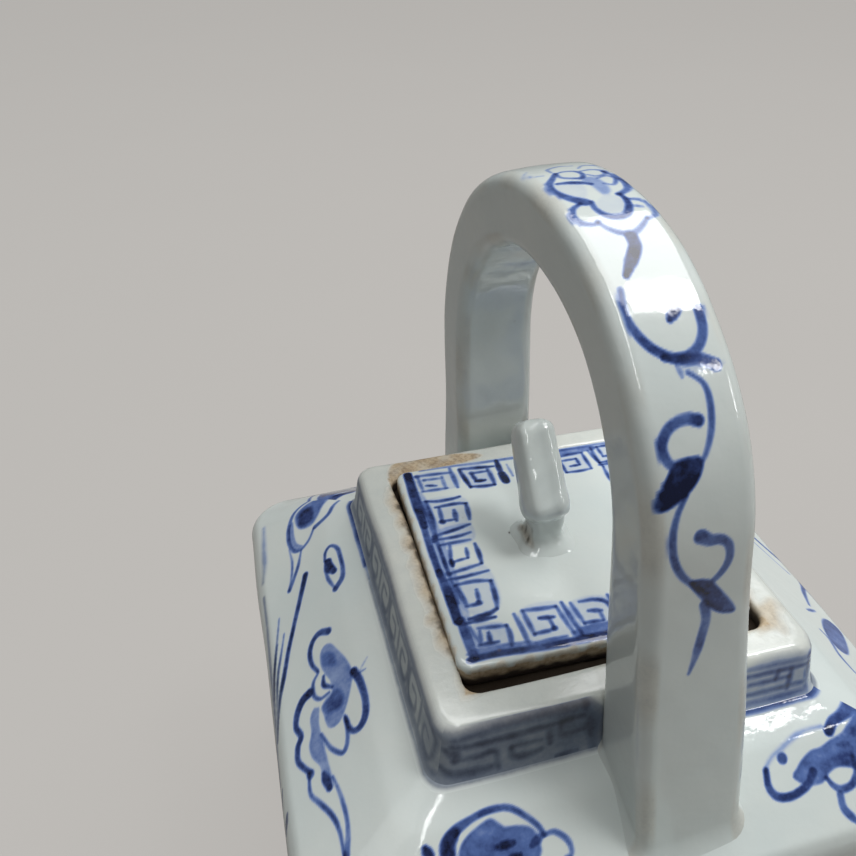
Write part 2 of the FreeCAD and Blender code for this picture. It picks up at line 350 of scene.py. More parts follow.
def lid_left_border(canvas):
    stroke(canvas, [(-23.1, 24.2), (-23.3, 16), (-23.4, 8)], 2.0, 0.85, ends=(0.9, 0.7))
    stroke(canvas, [(-23.5, 9), (-23.6, 2), (-23.6, -5)], 1.3, 0.72, ends=(0.9, 0.9))
    stroke(canvas, [(-23.5, -4), (-23.2, -10), (-23.2, -15.8)], 1.8, 0.86, ends=(0.7, 0.9))
    stroke(canvas, [(-22.2, 15), (-22.1, 6), (-22.0, -4), (-22.1, -12)], 0.8, 0.5)
    stroke(canvas, [(-22.7, -15.6), (-22.6, -23.4)], 1.7, 0.66, ends=(0.9, 0.9))
    stroke(canvas, [(-23.4, -23.9), (-20, -23.6), (-16, -23.8), (-10, -24.2), (0, -24.3), (12, -24.3),
                    (24, -24.4)], 1.5, 0.74, ends=(0.8, 0.9))
    wash(canvas, [(-22.6, -21.9), (-13, -22.4), (-13, -24), (-22.6, -23.6)], 0.4)
    wash(canvas, [(-4.2, -21.9), (12, -22.2), (12, -24), (-4.2, -24)], 0.4)
    wash(canvas, [(-23, 15), (-21, 15), (-21, -15), (-23, -15)], 0.2)


def lid_back_row(canvas):
    stroke(canvas, [(-20.4, 24.9), (-12, 24.5), (-6, 24.2), (2, 24.1), (12, 24.3), (23, 24.2)],
           0.9, 0.42)
    wash(canvas, [(-22, 23.6), (-14, 23), (-14, 18), (-21.5, 18)], 0.1)
    stroke(canvas, [(-21.6, 23.2), (-18, 23), (-14.5, 22.6)], 0.85, 0.55)
    dab(canvas, -21.4, 23.1, 0.6, 0.5)
    stroke(canvas, [(-21.3, 23), (-21.2, 18.2)], 0.7, 0.5)
    stroke(canvas, [(-21.3, 18.1), (-16.3, 18)], 0.8, 0.55)
    stroke(canvas, [(-16.6, 18), (-16.5, 21.8)], 0.8, 0.45)
    stroke(canvas, [(-20.3, 21.7), (-16.6, 21.3)], 0.7, 0.5)
    dab(canvas, -20.2, 21.6, 0.45, 0.4)
    stroke(canvas, [(-20.2, 19.8), (-18.3, 19.3)], 0.75, 0.65)
    stroke(canvas, [(-14.3, 24), (-14.2, 17.7)], 1.0, 0.5)
    wash(canvas, [(-12.6, 23.6), (-6.5, 23), (-6.5, 16.5), (-11.5, 17)], 0.12)
    stroke(canvas, [(-12.4, 23.2), (-9, 22.8), (-5.4, 22.4)], 0.95, 0.82)
    stroke(canvas, [(-12.5, 23), (-12.1, 20), (-11.7, 17)], 1.0, 0.8)
    stroke(canvas, [(-11.6, 17.2), (-9, 16.7), (-6.8, 16.6)], 0.9, 0.72)
    stroke(canvas, [(-6.8, 16.6), (-6.7, 19), (-6.8, 21.8)], 0.95, 0.6)
    stroke(canvas, [(-10.3, 21.3), (-7, 21.2)], 0.75, 0.6)
    dab(canvas, -10.3, 21.3, 0.6, 0.6)
    stroke(canvas, [(-10.4, 21), (-10, 18.6)], 0.85, 0.78)
    stroke(canvas, [(-10.2, 18.6), (-8.3, 18.5)], 0.95, 0.88)
    stroke(canvas, [(-4.2, 24.1), (-4.4, 21), (-4.4, 19.5)], 1.25, 0.95)
    stroke(canvas, [(-4.4, 19.5), (-4.3, 17.1)], 1.8, 0.97, ends=(0.9, 0.9))
    stroke(canvas, [(-2.5, 22.3), (-2.4, 18.3)], 0.6, 0.4)
    fret(canvas.placed(2.6, 20, 0.95), 0.6)
    stroke(canvas, [(7.1, 23.2), (7.0, 16.8)], 0.9, 0.5)
    fret(canvas.placed(11.3, 19.6, 0.92, 0, -1), 0.62)
    wash(canvas, [(8, 24.2), (17, 24), (17, 22.6), (8, 22.8)], 0.4)
    stroke(canvas, [(15.6, 22.5), (16.6, 16.8)], 0.9, 0.5)


def lid_left_column(canvas):
    wash(canvas, [(-21.8, 15), (-14, 14.5), (-14, 8), (-16, 6), (-21.5, 6)], 0.1)
    stroke(canvas, [(-21.5, 15), (-19, 14.5), (-16, 14.6), (-14.6, 14.9)], 0.9, 0.76)
    stroke(canvas, [(-21.5, 15), (-21.4, 10), (-21.7, 5.5)], 0.85, 0.65)
    stroke(canvas, [(-20, 12.8), (-16, 13), (-13.9, 12.6)], 0.9, 0.66)
    stroke(canvas, [(-14, 12.6), (-14.2, 10), (-14.5, 8)], 0.9, 0.7)
    stroke(canvas, [(-19.4, 12.5), (-19.7, 8.6)], 0.85, 0.6)
    dab(canvas, -19.7, 8.5, 0.65, 0.85)
    stroke(canvas, [(-19.6, 8.6), (-17, 8.6)], 0.65, 0.65)
    stroke(canvas, [(-17, 8.2), (-16.7, 11.2)], 1.05, 0.62)
    stroke(canvas, [(-22.4, 4.9), (-18, 5.8), (-14.9, 6.6)], 0.85, 0.72)
    stroke(canvas, [(-22.6, 3.6), (-21.9, 5)], 1.2, 0.85)
    stroke(canvas, [(-21.8, 3.9), (-18, 3.9), (-15.4, 4.4)], 0.8, 0.65)
    stroke(canvas, [(-21.6, 2.4), (-16, 2.5)], 0.8, 0.6)
    wash(canvas, [(-22, 6), (-15, 7), (-15.5, 2), (-22, 2)], 0.12)
    stroke(canvas, [(-22, 2), (-22, -4.8)], 0.65, 0.45)
    stroke(canvas, [(-20, 1.9), (-20.8, -2)], 0.8, 0.55)
    stroke(canvas, [(-20.7, -1.8), (-20.8, -3.3)], 1.0, 0.85)
    stroke(canvas, [(-20.6, -2.4), (-17.7, -2)], 0.65, 0.6)
    stroke(canvas, [(-17.6, -2), (-17.3, 0.5)], 0.75, 0.6)
    stroke(canvas, [(-15.4, 1.3), (-15.4, -1.5), (-15.6, -3.8)], 0.9, 0.72)
    stroke(canvas, [(-22, -5), (-18, -4.4), (-15.6, -3.9)], 0.75, 0.62)
    dab(canvas, -22, -5, 0.6, 0.7)
    stroke(canvas, [(-23.5, -6.4), (-19, -6.3), (-15, -5.9)], 0.75, 0.62)
    stroke(canvas, [(-21.6, -7.9), (-18, -7.8), (-15.2, -8.4)], 0.85, 0.55)
    wash(canvas, [(-22, -5), (-15.2, -4.5), (-15.2, -14), (-21, -14.5)], 0.1)
    stroke(canvas, [(-21.6, -8), (-20.8, -13)], 1.0, 0.6)
    stroke(canvas, [(-15.3, -8.4), (-15.6, -12), (-16.1, -14.6)], 0.95, 0.66)
    stroke(canvas, [(-16.2, -14.8), (-18, -15.5), (-21.3, -15.8)], 1.0, 0.78)
    stroke(canvas, [(-18.3, -9.8), (-18.6, -12.5)], 0.75, 0.65)
    dab(canvas, -18.7, -12.7, 0.55, 0.75)
    stroke(canvas, [(-21, -13), (-18.4, -13)], 0.75, 0.7)
    stroke(canvas, [(-22, -16.5), (-17, -16.4)], 0.9, 0.76)


def lid_front_row(canvas):
    stroke(canvas, [(-21.6, -17.5), (-21, -21.3)], 0.65, 0.5)
    stroke(canvas, [(-20.4, -18), (-18, -18.3), (-15.8, -18.6)], 0.8, 0.55)
    stroke(canvas, [(-15.7, -18.5), (-15.7, -20.5), (-16.2, -22.6)], 0.9, 0.6)
    stroke(canvas, [(-20.3, -18.6), (-20.8, -21.2)], 0.7, 0.6)
    stroke(canvas, [(-19, -19.3), (-19.3, -21.3)], 0.85, 0.8)
    stroke(canvas, [(-21.2, -21.4), (-18, -21.4)], 0.8, 0.8)
    wash(canvas, [(-21.5, -17.5), (-16, -18), (-16, -23), (-21.5, -23)], 0.13)
    stroke(canvas, [(-13.8, -16.6), (-13.5, -20), (-13.4, -23.5)], 0.95, 0.5)
    wash(canvas, [(-12.6, -16), (-5, -16), (-4.6, -23.5), (-13, -23.5)], 0.1)
    stroke(canvas, [(-12.2, -16.2), (-9, -16.5), (-6.5, -16.6)], 0.9, 0.56)
    stroke(canvas, [(-12.2, -16.4), (-11.9, -21.5)], 0.9, 0.55)
    stroke(canvas, [(-6.4, -16.6), (-6, -20), (-5.6, -22.8)], 0.85, 0.55)
    stroke(canvas, [(-10, -18.4), (-7.6, -18.7)], 0.9, 0.78)
    stroke(canvas, [(-8.5, -18.7), (-8.3, -21)], 0.65, 0.62)
    dab(canvas, -8.3, -21, 0.55, 0.75)
    stroke(canvas, [(-11.8, -21.3), (-8.5, -21.2)], 0.8, 0.6)
    stroke(canvas, [(-12.2, -23.1), (-7, -23.1)], 0.8, 0.5)
    stroke(canvas, [(-5.2, -16), (-4.9, -20), (-4.4, -23.5)], 0.9, 0.6)
    wash(canvas, [(-4, -16.5), (2.5, -16.5), (2.5, -23.5), (-4, -23.5)], 0.1)
    stroke(canvas, [(-3.8, -16.5), (-3.2, -21.4)], 0.8, 0.5)
    stroke(canvas, [(-2.2, -16.6), (0.5, -16.8), (2.2, -17.9), (2.4, -21)], 0.85, 0.6)
    stroke(canvas, [(-1.5, -18.9), (0.6, -19.3)], 0.9, 0.66)
    stroke(canvas, [(0.2, -19.5), (0.2, -21.3)], 0.7, 0.6)
    stroke(canvas, [(-3.2, -21.2), (0, -21.4)], 0.8, 0.62)
    for place in (6.6, 13.8):
        stroke(canvas, [(place - 3.6, -16.3), (place - 3.3, -23.3)], 0.9, 0.5)
        fret(canvas.placed(place, -19.8, 0.95, 180), 0.58)


# Motifs of the shoulders
def ruyi_cloud(canvas):
    """A trailing cloud with a curled head, on the front half of the left shoulder."""
    wash(canvas, [(-16.5, -12.5), (-15, -10.8), (-12, -9), (-8.5, -7.7), (-5, -8.3), (-2, -9.6),
                  (0.5, -11), (0.8, -12.5), (-0.5, -13.6), (-3, -13.8), (-5, -13.2), (-7, -12.4),
                  (-9, -12.2), (-10.5, -13), (-11.2, -15), (-13, -14.8), (-16, -14.3)], 0.37)
    wash(canvas, [(-13.6, -11.2), (-11, -10.4), (-9.8, -12), (-10.8, -14.4), (-13, -14.2)],
         0.42, soft=0.9)
    wash(canvas, [(-4.4, -10.6), (-1.4, -11), (-0.8, -12.8), (-3, -13.2)], 0.3, soft=0.9)
    wash(canvas, [(-25, -15.5), (-22, -15.6), (-18, -15.8), (-14, -16), (-11, -15.5), (-10.5, -16.5),
                  (-12, -17.6), (-15, -17.8), (-17, -18.6), (-19.5, -18.4), (-22, -17.2), (-25, -17.2)],
         0.36)
    stroke(canvas, [(-16.3, -10.8), (-19, -10.3), (-19.5, -8.8), (-18, -7.2), (-15, -6.5), (-11, -6.7),
                    (-8.4, -7.4)], 1.3, 0.74, ends=(0.6, 1.2))
    stroke(canvas, [(-9.4, -6.6), (-9.2, -5.2)], 0.4, 0.4)
    stroke(canvas, [(-8.9, -6.2), (-7, -4.4)], 0.35, 0.3)
    stroke(canvas, [(-15.8, -10.9), (-20, -11.2), (-22, -12.6), (-20, -14.6), (-16.4, -15.9)],
           0.85, 0.6)
    stroke(canvas, [(-8.7, -12.2), (-7.2, -13.8), (-5.4, -13.6)], 1.0, 0.72)
    stroke(canvas, [(-9.4, -13), (-9.5, -15), (-8, -16.2), (-5.5, -16), (-4, -14.6)], 0.85, 0.62)
    stroke(canvas, [(-3.6, -14.7), (-1.5, -15.7), (1, -15.8), (3.2, -14.8), (4.2, -13), (3.4, -11)],
           1.05, 0.74, ends=(0.7, 1.5))
    stroke(canvas, [(-7, -17.1), (-7.6, -18.7), (-9.5, -20.2), (-12, -20.8), (-14.3, -20), (-16, -20.9),
                    (-18.5, -21.2), (-20.5, -20.2), (-22, -19.1)], 1.15, 0.74, ends=(1.6, 0.8))
    dab(canvas, -22.3, -19.2, 0.8, 0.6)
    stroke(canvas, [(-22, -19.4), (-25.5, -19.8), (-28, -18.4), (-31, -16.6), (-34, -15.7),
                    (-38, -15.6)], 0.85, 0.64)
    stroke(canvas, [(-38, -15.2), (-35, -14.3), (-32, -14.1), (-28, -14.6), (-25, -15.3)],
           0.8, 0.52, ends=(1.6, 0.6))
    stroke(canvas, [(-26.4, -16.2), (-23.6, -16.8)], 1.6, 0.72, ends=(0.8, 0.5))


def cloud_eye(canvas):
    """A small closed curl with a blot in it, between the two clouds."""
    stroke(canvas, [(11.8, -7.5), (13.5, -5.6), (16, -4.9), (19, -4.8), (22, -5), (23.4, -6.2),
                    (22.5, -7.6), (20.4, -8.2)], 0.9, 0.66, ends=(1.4, 0.7))
    stroke(canvas, [(12.2, -7.6), (15, -8.4), (17.8, -8.7)], 0.85, 0.62)
    stroke(canvas, [(16.4, -6.9), (18, -7.7), (19.6, -7.6)], 2.2, 0.86, ends=(0.7, 0.8))


def leafy_cloud(canvas):
    """The cloud at the back corner of the left shoulder."""
    wash(canvas, [(33, -9.5), (35, -7.2), (38, -6), (40.5, -7), (41.2, -9.5), (40, -12), (38, -13.5),
                  (35, -13.2), (33.5, -12)], 0.48, soft=0.9)
    wash(canvas, [(34.2, -9.4), (36.5, -8.6), (38.8, -9.6), (38.6, -12), (36, -13), (34.2, -12)],
         0.6, soft=1.0)
    wash(canvas, [(28.6, -12.6), (30.4, -14), (33.5, -14.4), (37.5, -14.2), (36, -15.6), (31, -15.8),
                  (28.8, -14.8)], 0.34)
    stroke(canvas, [(37.5, -2.6), (35.6, -3.6), (33.4, -4.8), (32.2, -6.6), (31.6, -8.8)],
           0.9, 0.58, ends=(0.5, 1.3))
    stroke(canvas, [(31.4, -9.2), (29, -11), (28, -13.2), (28.8, -15), (31.4, -15.9), (35, -15.8),
                    (38.4, -14.6), (41, -12.6), (42, -10.4), (41.2, -7.8)], 1.0, 0.56)
    stroke(canvas, [(38, -2.8), (40.5, -3.8), (43, -6.2)], 0.6, 0.3)
    stroke(canvas, [(27.6, -13.2), (24, -14.6), (21, -16.4), (19.2, -17.7)],
           0.85, 0.56, ends=(0.5, 1.2))
    stroke(canvas, [(30, -16.2), (26, -15.9), (22.4, -16.6), (19.4, -17.7)],
           0.65, 0.46, ends=(0.5, 0.9))


def long_reeds(canvas):
    """One long stroke across the shoulder with a fan of fine lines under it."""
    stroke(canvas, [(20.4, -13.2), (16, -15.2), (10, -18), (5, -20.2), (0, -22), (-5, -23.8),
                    (-12, -25.8)], 0.95, 0.82, ends=(1.4, 0.4))
    stroke(canvas, [(9.5, -20.6), (4, -22.4), (0, -23.6), (-10, -25.6)], 0.55, 0.6, ends=(0.6, 0.4))
    stroke(canvas, [(14, -21.2), (6, -23.2), (0, -24.6), (-9, -26)], 0.55, 0.55, ends=(0.6, 0.4))
    stroke(canvas, [(8, -22.6), (1, -24.6), (-6, -26)], 0.55, 0.6, ends=(0.6, 0.4))
    stroke(canvas, [(22, -24.4), (14, -24.7), (5, -25.4), (-8, -26.2), (-20, -27)], 0.9, 0.42, soft=1.1)
    stroke(canvas, [(42, -22), (36, -22.5), (30, -23), (26, -24)], 1.3, 0.26, soft=1.2)
    stroke(canvas, [(-26, -25.2), (-28.5, -26.6)], 1.0, 0.6)
    stroke(canvas, [(-21, -26), (-24, -27)], 0.6, 0.5)
    canvas.cover("ash", fade(-21.5 - canvas.v, 3, 0.7))


def front_left_cloud(canvas):
    wash(canvas, [(-31.8, -9.8), (-31, -8.2), (-29.4, -7), (-27.6, -6.2), (-26, -5.8), (-25, -6.6),
                  (-24.2, -7.4), (-22.5, -7.6), (-20.6, -8.2), (-19.6, -9.4), (-19.4, -11),
                  (-20, -12.6), (-22.5, -13.4), (-25, -12.6), (-28, -12.4), (-31, -11)], 0.5)
    wash(canvas, [(-30.6, -9.4), (-28.4, -8.2), (-25, -8.6), (-26, -10), (-28, -11.6), (-30, -11)],
         0.2, soft=1.0)
    stroke(canvas, [(-33.4, -9.4), (-33.2, -7.7), (-31.6, -6.3), (-29, -5.3), (-26, -4.7), (-23, -5),
                    (-20.8, -6.6), (-19.2, -8.4), (-18.6, -9.8)], 1.0, 0.66, ends=(2.2, 0.8))
    stroke(canvas, [(-33, -9), (-32.6, -7.4), (-31.4, -6.4)], 2.0, 0.6, ends=(0.9, 0.5))
    stroke(canvas, [(-25.8, -9.8), (-23.4, -9.8)], 1.2, 0.7)
    stroke(canvas, [(-20.8, -10.8), (-18.9, -9.8)], 1.2, 0.66)
    stroke(canvas, [(-24.6, -11.8), (-22.8, -11.6)], 1.1, 0.7)
    stroke(canvas, [(-30, -11.5), (-30.5, -14), (-28.5, -15.6), (-26, -15), (-25.3, -13.4)], 0.85, 0.6)
    stroke(canvas, [(-25.2, -13.6), (-24.5, -15.4), (-21.6, -16.2), (-19.4, -14.6)], 0.85, 0.6)
    stroke(canvas, [(-18.8, -9.9), (-17, -9.8), (-15.4, -11.2), (-15.1, -12.8), (-15.8, -14)],
           0.9, 0.55)
    dab(canvas, -16, -13.9, 0.7, 0.6)
    stroke(canvas, [(-36.4, -7.6), (-35.8, -9.2)], 1.6, 0.8)


def front_right_cloud(canvas):
    wash(canvas, [(23, -11.3), (24, -10.3), (25.5, -9.2), (27.5, -8.3), (29.5, -8.2), (31.5, -7.6),
                  (34, -7), (36, -5.8), (39, -5.4), (40.6, -8), (38.6, -11.4), (35.6, -13.4),
                  (33.6, -12.3), (31.4, -11.7), (29.4, -12.3), (27.8, -13.3), (25, -13)], 0.5)
    wash(canvas, [(28.6, -10.6), (32, -10), (35, -10.2), (36, -12.6), (33.8, -12.2), (31, -11.6),
                  (28.8, -12)], 0.3, soft=1.0)
    wash(canvas, [(33.6, -8), (37.4, -6.6), (39.4, -8), (37, -10), (34.4, -9.8)], 0.3, soft=1.0)
    stroke(canvas, [(32.6, -8.6), (34.4, -8.8)], 0.8, 0.4)
    stroke(canvas, [(18.7, -9.3), (18.4, -11.8), (19.5, -13.4), (22, -13.8), (25, -13), (26.8, -11.4)],
           1.3, 0.74, ends=(0.8, 1.1))
    stroke(canvas, [(18.9, -8.8), (20.4, -7.6), (22.6, -6.7), (25.5, -5.6), (28, -5.2), (30.8, -5.3)],
           0.9, 0.3, soft=0.8)
    dab(canvas, 22.1, -8.2, 0.9, 0.66)
    stroke(canvas, [(31.9, -6.2), (33.4, -5), (36, -4.5), (39.4, -4.9)], 1.7, 0.72, ends=(1.1, 0.6))
    stroke(canvas, [(34.4, -10.8), (34.3, -13), (33, -14.6), (31, -15), (29.6, -14.2), (28.8, -12.8)],
           1.2, 0.64)
    stroke(canvas, [(30.2, -15.6), (30, -17.5), (30.8, -19), (32, -20.5)], 1.3, 0.55, ends=(0.9, 0.4))
    stroke(canvas, [(36.5, -13), (39.5, -13), (42, -11), (42.5, -8), (40.5, -5)], 0.85, 0.6)


def right_reeds(canvas):
    """Long grass strokes and a leaf along the outer edge of the right shoulder."""
    stroke(canvas, [(30, -9.5), (20, -15.2), (9, -20.5), (4, -23), (-0.5, -25), (-8, -26), (-20, -26.8)],
           0.8, 0.62)
    stroke(canvas, [(-12, -18.6), (-8, -21.2), (-5, -23.6), (-1, -25)], 1.1, 0.62, ends=(0.5, 0.4))
    stroke(canvas, [(-24, -24.8), (-14, -24.4), (-6, -23.6)], 0.6, 0.5)
    stroke(canvas, [(24, -9), (12, -15.4), (6, -19), (-2, -22.4)], 0.5, 0.42)
    wash(canvas, [(-24, -14.8), (-20, -15.2), (-16, -18.6), (-15.4, -21.6), (-18, -22.8), (-22, -20.4),
                  (-25, -17)], 0.55)
    stroke(canvas, [(-30, -13.6), (-26, -13.2), (-22, -14.4), (-19.6, -14)], 0.8, 0.5)
    stroke(canvas, [(-14, -15.8), (-13.4, -19)], 0.8, 0.55)
    leafy_cloud(canvas.placed(-2, -1))


bluer_start = 16.0
bluer_run = 8.0


def bluer_right(canvas, least, most):
    """How much ash there is along a face whose right end fired bluer."""
    return np.clip((bluer_start - canvas.u) / bluer_run, least, most)


def collar_foot_line(canvas, reach):
    """The grey blue line where the collar meets the shoulder, bluer to the right."""
    stroke(canvas, [(-reach, 0.1), (0, 0.1), (reach, 0)], 1.0, 0.4, ends=(0.9, 0.9), soft=1.1)
    stroke(canvas, [(14, -0.3), (24, -0.2), (reach + 2, -0.2)], 1.2, 0.55, ends=(0.5, 1.1), soft=0.8)
    canvas.cover("ash", fade(canvas.v + 2.4, 1.6) * bluer_right(canvas, 0.15, 0.9))


def paint_shoulder(side, canvas):
    collar_foot_line(canvas, collar_half_width if side in ACROSS else collar_half_depth)
    if side == "left":
        ruyi_cloud(canvas)
        cloud_eye(canvas)
        leafy_cloud(canvas)
        long_reeds(canvas)
    elif side == "right":
        right_reeds(canvas)
    else:
        face = canvas if side == "front" else canvas.placed(0, 0, flip=-1)
        front_left_cloud(face)
        front_right_cloud(face)


# Motifs of the collar
def collar_fret_front(canvas):
    wash(canvas, [(-33, 8.3), (-8, 9.1), (-6.6, -0.6), (-33, -0.6)], 0.37, soft=2.2)
    stroke(canvas, [(-29.5, 7.9), (-25, 8.5), (-20, 8.9), (-14, 9.1), (-8.5, 9.2)], 1.3, 0.36, soft=1.2)
    stroke(canvas, [(-30, 6.7), (-27, 6.3), (-22, 6.5), (-14, 6.8), (-9, 7.2)], 1.2, 0.62, soft=0.8)
    stroke(canvas, [(-31, 5.8), (-29.6, 5), (-29.8, 3.9)], 1.8, 0.6, soft=0.8)
    stroke(canvas, [(-30, 4), (-26, 4), (-23.4, 4), (-23, 1)], 1.1, 0.58, soft=0.8)
    stroke(canvas, [(-32, 2.4), (-30, 1.3), (-26, 1.2), (-24, 1.4)], 1.5, 0.5, soft=0.9)
    stroke(canvas, [(-20.8, 4), (-20.4, 2.2), (-18, 1.9), (-16, 2.2)], 1.3, 0.62, soft=0.8)
    stroke(canvas, [(-20.6, 4.3), (-16, 4.2)], 0.9, 0.5, soft=0.8)
    stroke(canvas, [(-14.6, 6.8), (-14.4, 3)], 1.3, 0.62, soft=0.8)
    stroke(canvas, [(-12.8, 6.8), (-12.6, 4.2), (-9, 4)], 1.3, 0.58, soft=0.8)
    stroke(canvas, [(-9, 9.3), (-8, 5), (-7.4, 0)], 1.5, 0.5, soft=1.0)
    stroke(canvas, [(-13.5, 0.2), (-10, 0.3)], 0.8, 0.5)
    wash(canvas, [(-14, 9), (-7.6, 9.2), (-7, 1), (-13, 2.6)], 0.3, soft=2.0)
    wash(canvas, [(19, 8.2), (32, 8.0), (32, -0.4), (18, -0.4)], 0.16, soft=1.4)
    stroke(canvas, [(19, 8.0), (31, 7.6)], 0.8, 0.36, soft=0.8)
    stroke(canvas, [(19, 6.5), (31, 6.3)], 1.0, 0.56, soft=0.7)
    stroke(canvas, [(19.5, 4.7), (27, 4.6)], 0.9, 0.5, soft=0.7)
    stroke(canvas, [(19, 2.6), (30, 2.5)], 1.0, 0.54, soft=0.7)
    stroke(canvas, [(19, 0.9), (31, 0.8)], 1.0, 0.4, soft=0.8)
    stroke(canvas, [(24.6, 6.4), (24.4, 4.6)], 0.9, 0.5, soft=0.7)
    stroke(canvas, [(27.2, 6), (27, 2)], 1.0, 0.54, soft=0.7)
    stroke(canvas, [(30.6, 8), (30.8, 1.5)], 1.2, 0.5, soft=0.8)


def collar_fret_side(canvas, reach):
    """A row of key-fret units, run together by the glaze."""
    wash(canvas, [(-reach - 2, 8.4), (reach + 2, 8.4), (reach + 2, -0.6), (-reach - 2, -0.6)],
         0.14, soft=2.0)
    wash(canvas, [(-reach - 2, 8.2), (-reach + 5, 8.2), (-reach + 4, -0.6), (-reach - 2, -0.6)],
         0.14, soft=4.0)
    stroke(canvas, [(-reach - 2, 8.0), (-12, 8.5), (10, 8.4), (reach + 2, 8.1)], 0.8, 0.34, soft=1.0)
    stroke(canvas, [(-reach - 2, 0.8), (-12, 0.9), (8, 0.8), (reach + 2, 0.9)], 0.9, 0.34, soft=1.0)
    key = [(-2.9, 2.8), (2.9, 2.7), (2.8, -2.7), (-1.2, -2.8), (-1.2, 0.4), (1.2, 0.4)]
    for count, place in enumerate(np.arange(-reach + 3.4, reach, 7.6)):
        unit = canvas.placed(place, 4.6, 0.94, 0, 1 if count % 2 else -1)
        stroke(unit, key, 0.9, 0.4, soft=0.8)
        stroke(canvas, [(place + 3.8, 7.4), (place + 3.7, 1.6)], 0.8, 0.34, soft=0.8)


def paint_collar(side, canvas):
    greyed = 0.85 * (np.abs(canvas.v) < off_canvas)
    canvas.cover("ash", greyed * (bluer_right(canvas, 0.3, 1) if side == "front" else 1))
    if side == "front":
        collar_fret_front(canvas)
    elif side == "back":
        collar_fret_front(canvas.placed(0, 0, flip=-1))
    else:
        collar_fret_side(canvas, rim_half_depth - 1.0)


# Motifs of the handle
def blossom(canvas):
    """A full flower of curled petals with a dark stem below it."""
    wash(canvas, [(0, -3.8), (1.8, -3.6), (2.6, -6), (2.2, -9), (0.8, -9.6), (0.4, -6.6)],
         0.26, soft=0.9)
    wash(canvas, [(-4.6, -4), (-2.6, -4.8), (-0.6, -6.4), (-1.6, -9.6), (-3, -9.8), (-4.4, -7.4)], 0.07)
    wash(canvas, [(-1, -11.4), (1, -9.8), (2.6, -11), (2, -13.8), (0.2, -14.6), (-1.2, -13)], 0.07)
    stroke(canvas, [(-2.1, 0), (-3.4, -2), (-4.8, -4), (-5.1, -6), (-4.6, -8), (-3.6, -9.6),
                    (-2.4, -10.8)], 1.15, 0.6, ends=(0.6, 1.5))
    stroke(canvas, [(-3.6, -4.2), (-2, -4.6), (-0.4, -5.4), (0.6, -6.2)], 1.1, 0.6)
    stroke(canvas, [(-2, 0), (-2.2, -2), (-1, -3.2), (0.4, -3.5), (1.2, -2), (0.8, -0.4), (-0.6, 0.3),
                    (-2, 0)], 0.8, 0.52)
    stroke(canvas, [(1.6, -0.6), (3.4, -0.4), (4.6, -1.4), (4.4, -3), (2.8, -3.6), (1.8, -2.6)],
           0.75, 0.42)
    stroke(canvas, [(2.4, -4.4), (4.2, -4), (4.8, -5.4), (3.6, -7.2), (2.4, -6.6)], 0.7, 0.42)
    stroke(canvas, [(4.6, -2), (5.5, -4.6), (5.6, -7), (4.9, -8.8), (3.4, -9.8), (2.8, -10)], 1.3, 0.6)
    stroke(canvas, [(-1.6, -11), (-1.8, -12.6), (-1.2, -14.2), (0, -15), (1.6, -14.8), (2.8, -13.2),
                    (3.2, -11.4), (3, -10)], 1.15, 0.66)
    stroke(canvas, [(-3.2, -11), (-4.6, -11.8), (-5.3, -13.4), (-4.9, -15), (-3.4, -15.8),
                    (-2.6, -15.4)], 1.0, 0.62)
    stroke(canvas, [(3.4, -11.4), (5, -12), (5.9, -13.6), (5.6, -15.4), (4, -16.2)], 0.9, 0.44)
    stroke(canvas, [(3.4, -13.2), (4.6, -13.6)], 0.6, 0.4)
    stroke(canvas, [(-2.8, -15.4), (-2, -17), (-0.6, -18.2), (1, -18.4), (2.8, -17.2), (4, -16)],
           0.9, 0.55)
    stroke(canvas, [(-5, 4), (-6, 2.4), (-5.4, 0.6), (-4, 0)], 0.7, 0.24)
    stroke(canvas, [(-2.4, 0.8), (-2, 3), (0.2, 4), (2, 3.2)], 0.7, 0.32)
    stroke(canvas, [(2, 1), (3.4, 2.4), (5, 1.6), (5.2, -0.4)], 0.7, 0.3)
    stroke(canvas, [(0.3, -18.9), (0.1, -20.5), (-0.8, -22), (-2, -23.6), (-3, -25)],
           1.7, 0.9, ends=(1.0, 0.5))


def crescent_and_bud(canvas):
    stroke(canvas, [(-4.5, -26.8), (-5, -30), (-4.6, -32.5), (-3.4, -34.8), (-1.5, -36.4), (0.5, -36.9),
                    (2.6, -36), (4, -34), (4.4, -31.2)], 1.25, 0.66, ends=(0.6, 1.1))
    stroke(canvas, [(0.2, -31.9), (0.9, -31.2), (1.7, -30.8)], 1.5, 0.76)
    stroke(canvas, [(-2, -36.5), (0.5, -37.2), (2.5, -37.5), (4.2, -38.5)], 1.5, 0.72, ends=(0.6, 1.1))
    wash(canvas, [(-0.6, -37.9), (2.6, -38.2), (2.8, -39), (-0.4, -38.9)], 0.12)
    stroke(canvas, [(-0.8, -37.6), (-0.5, -39.2)], 0.6, 0.4)


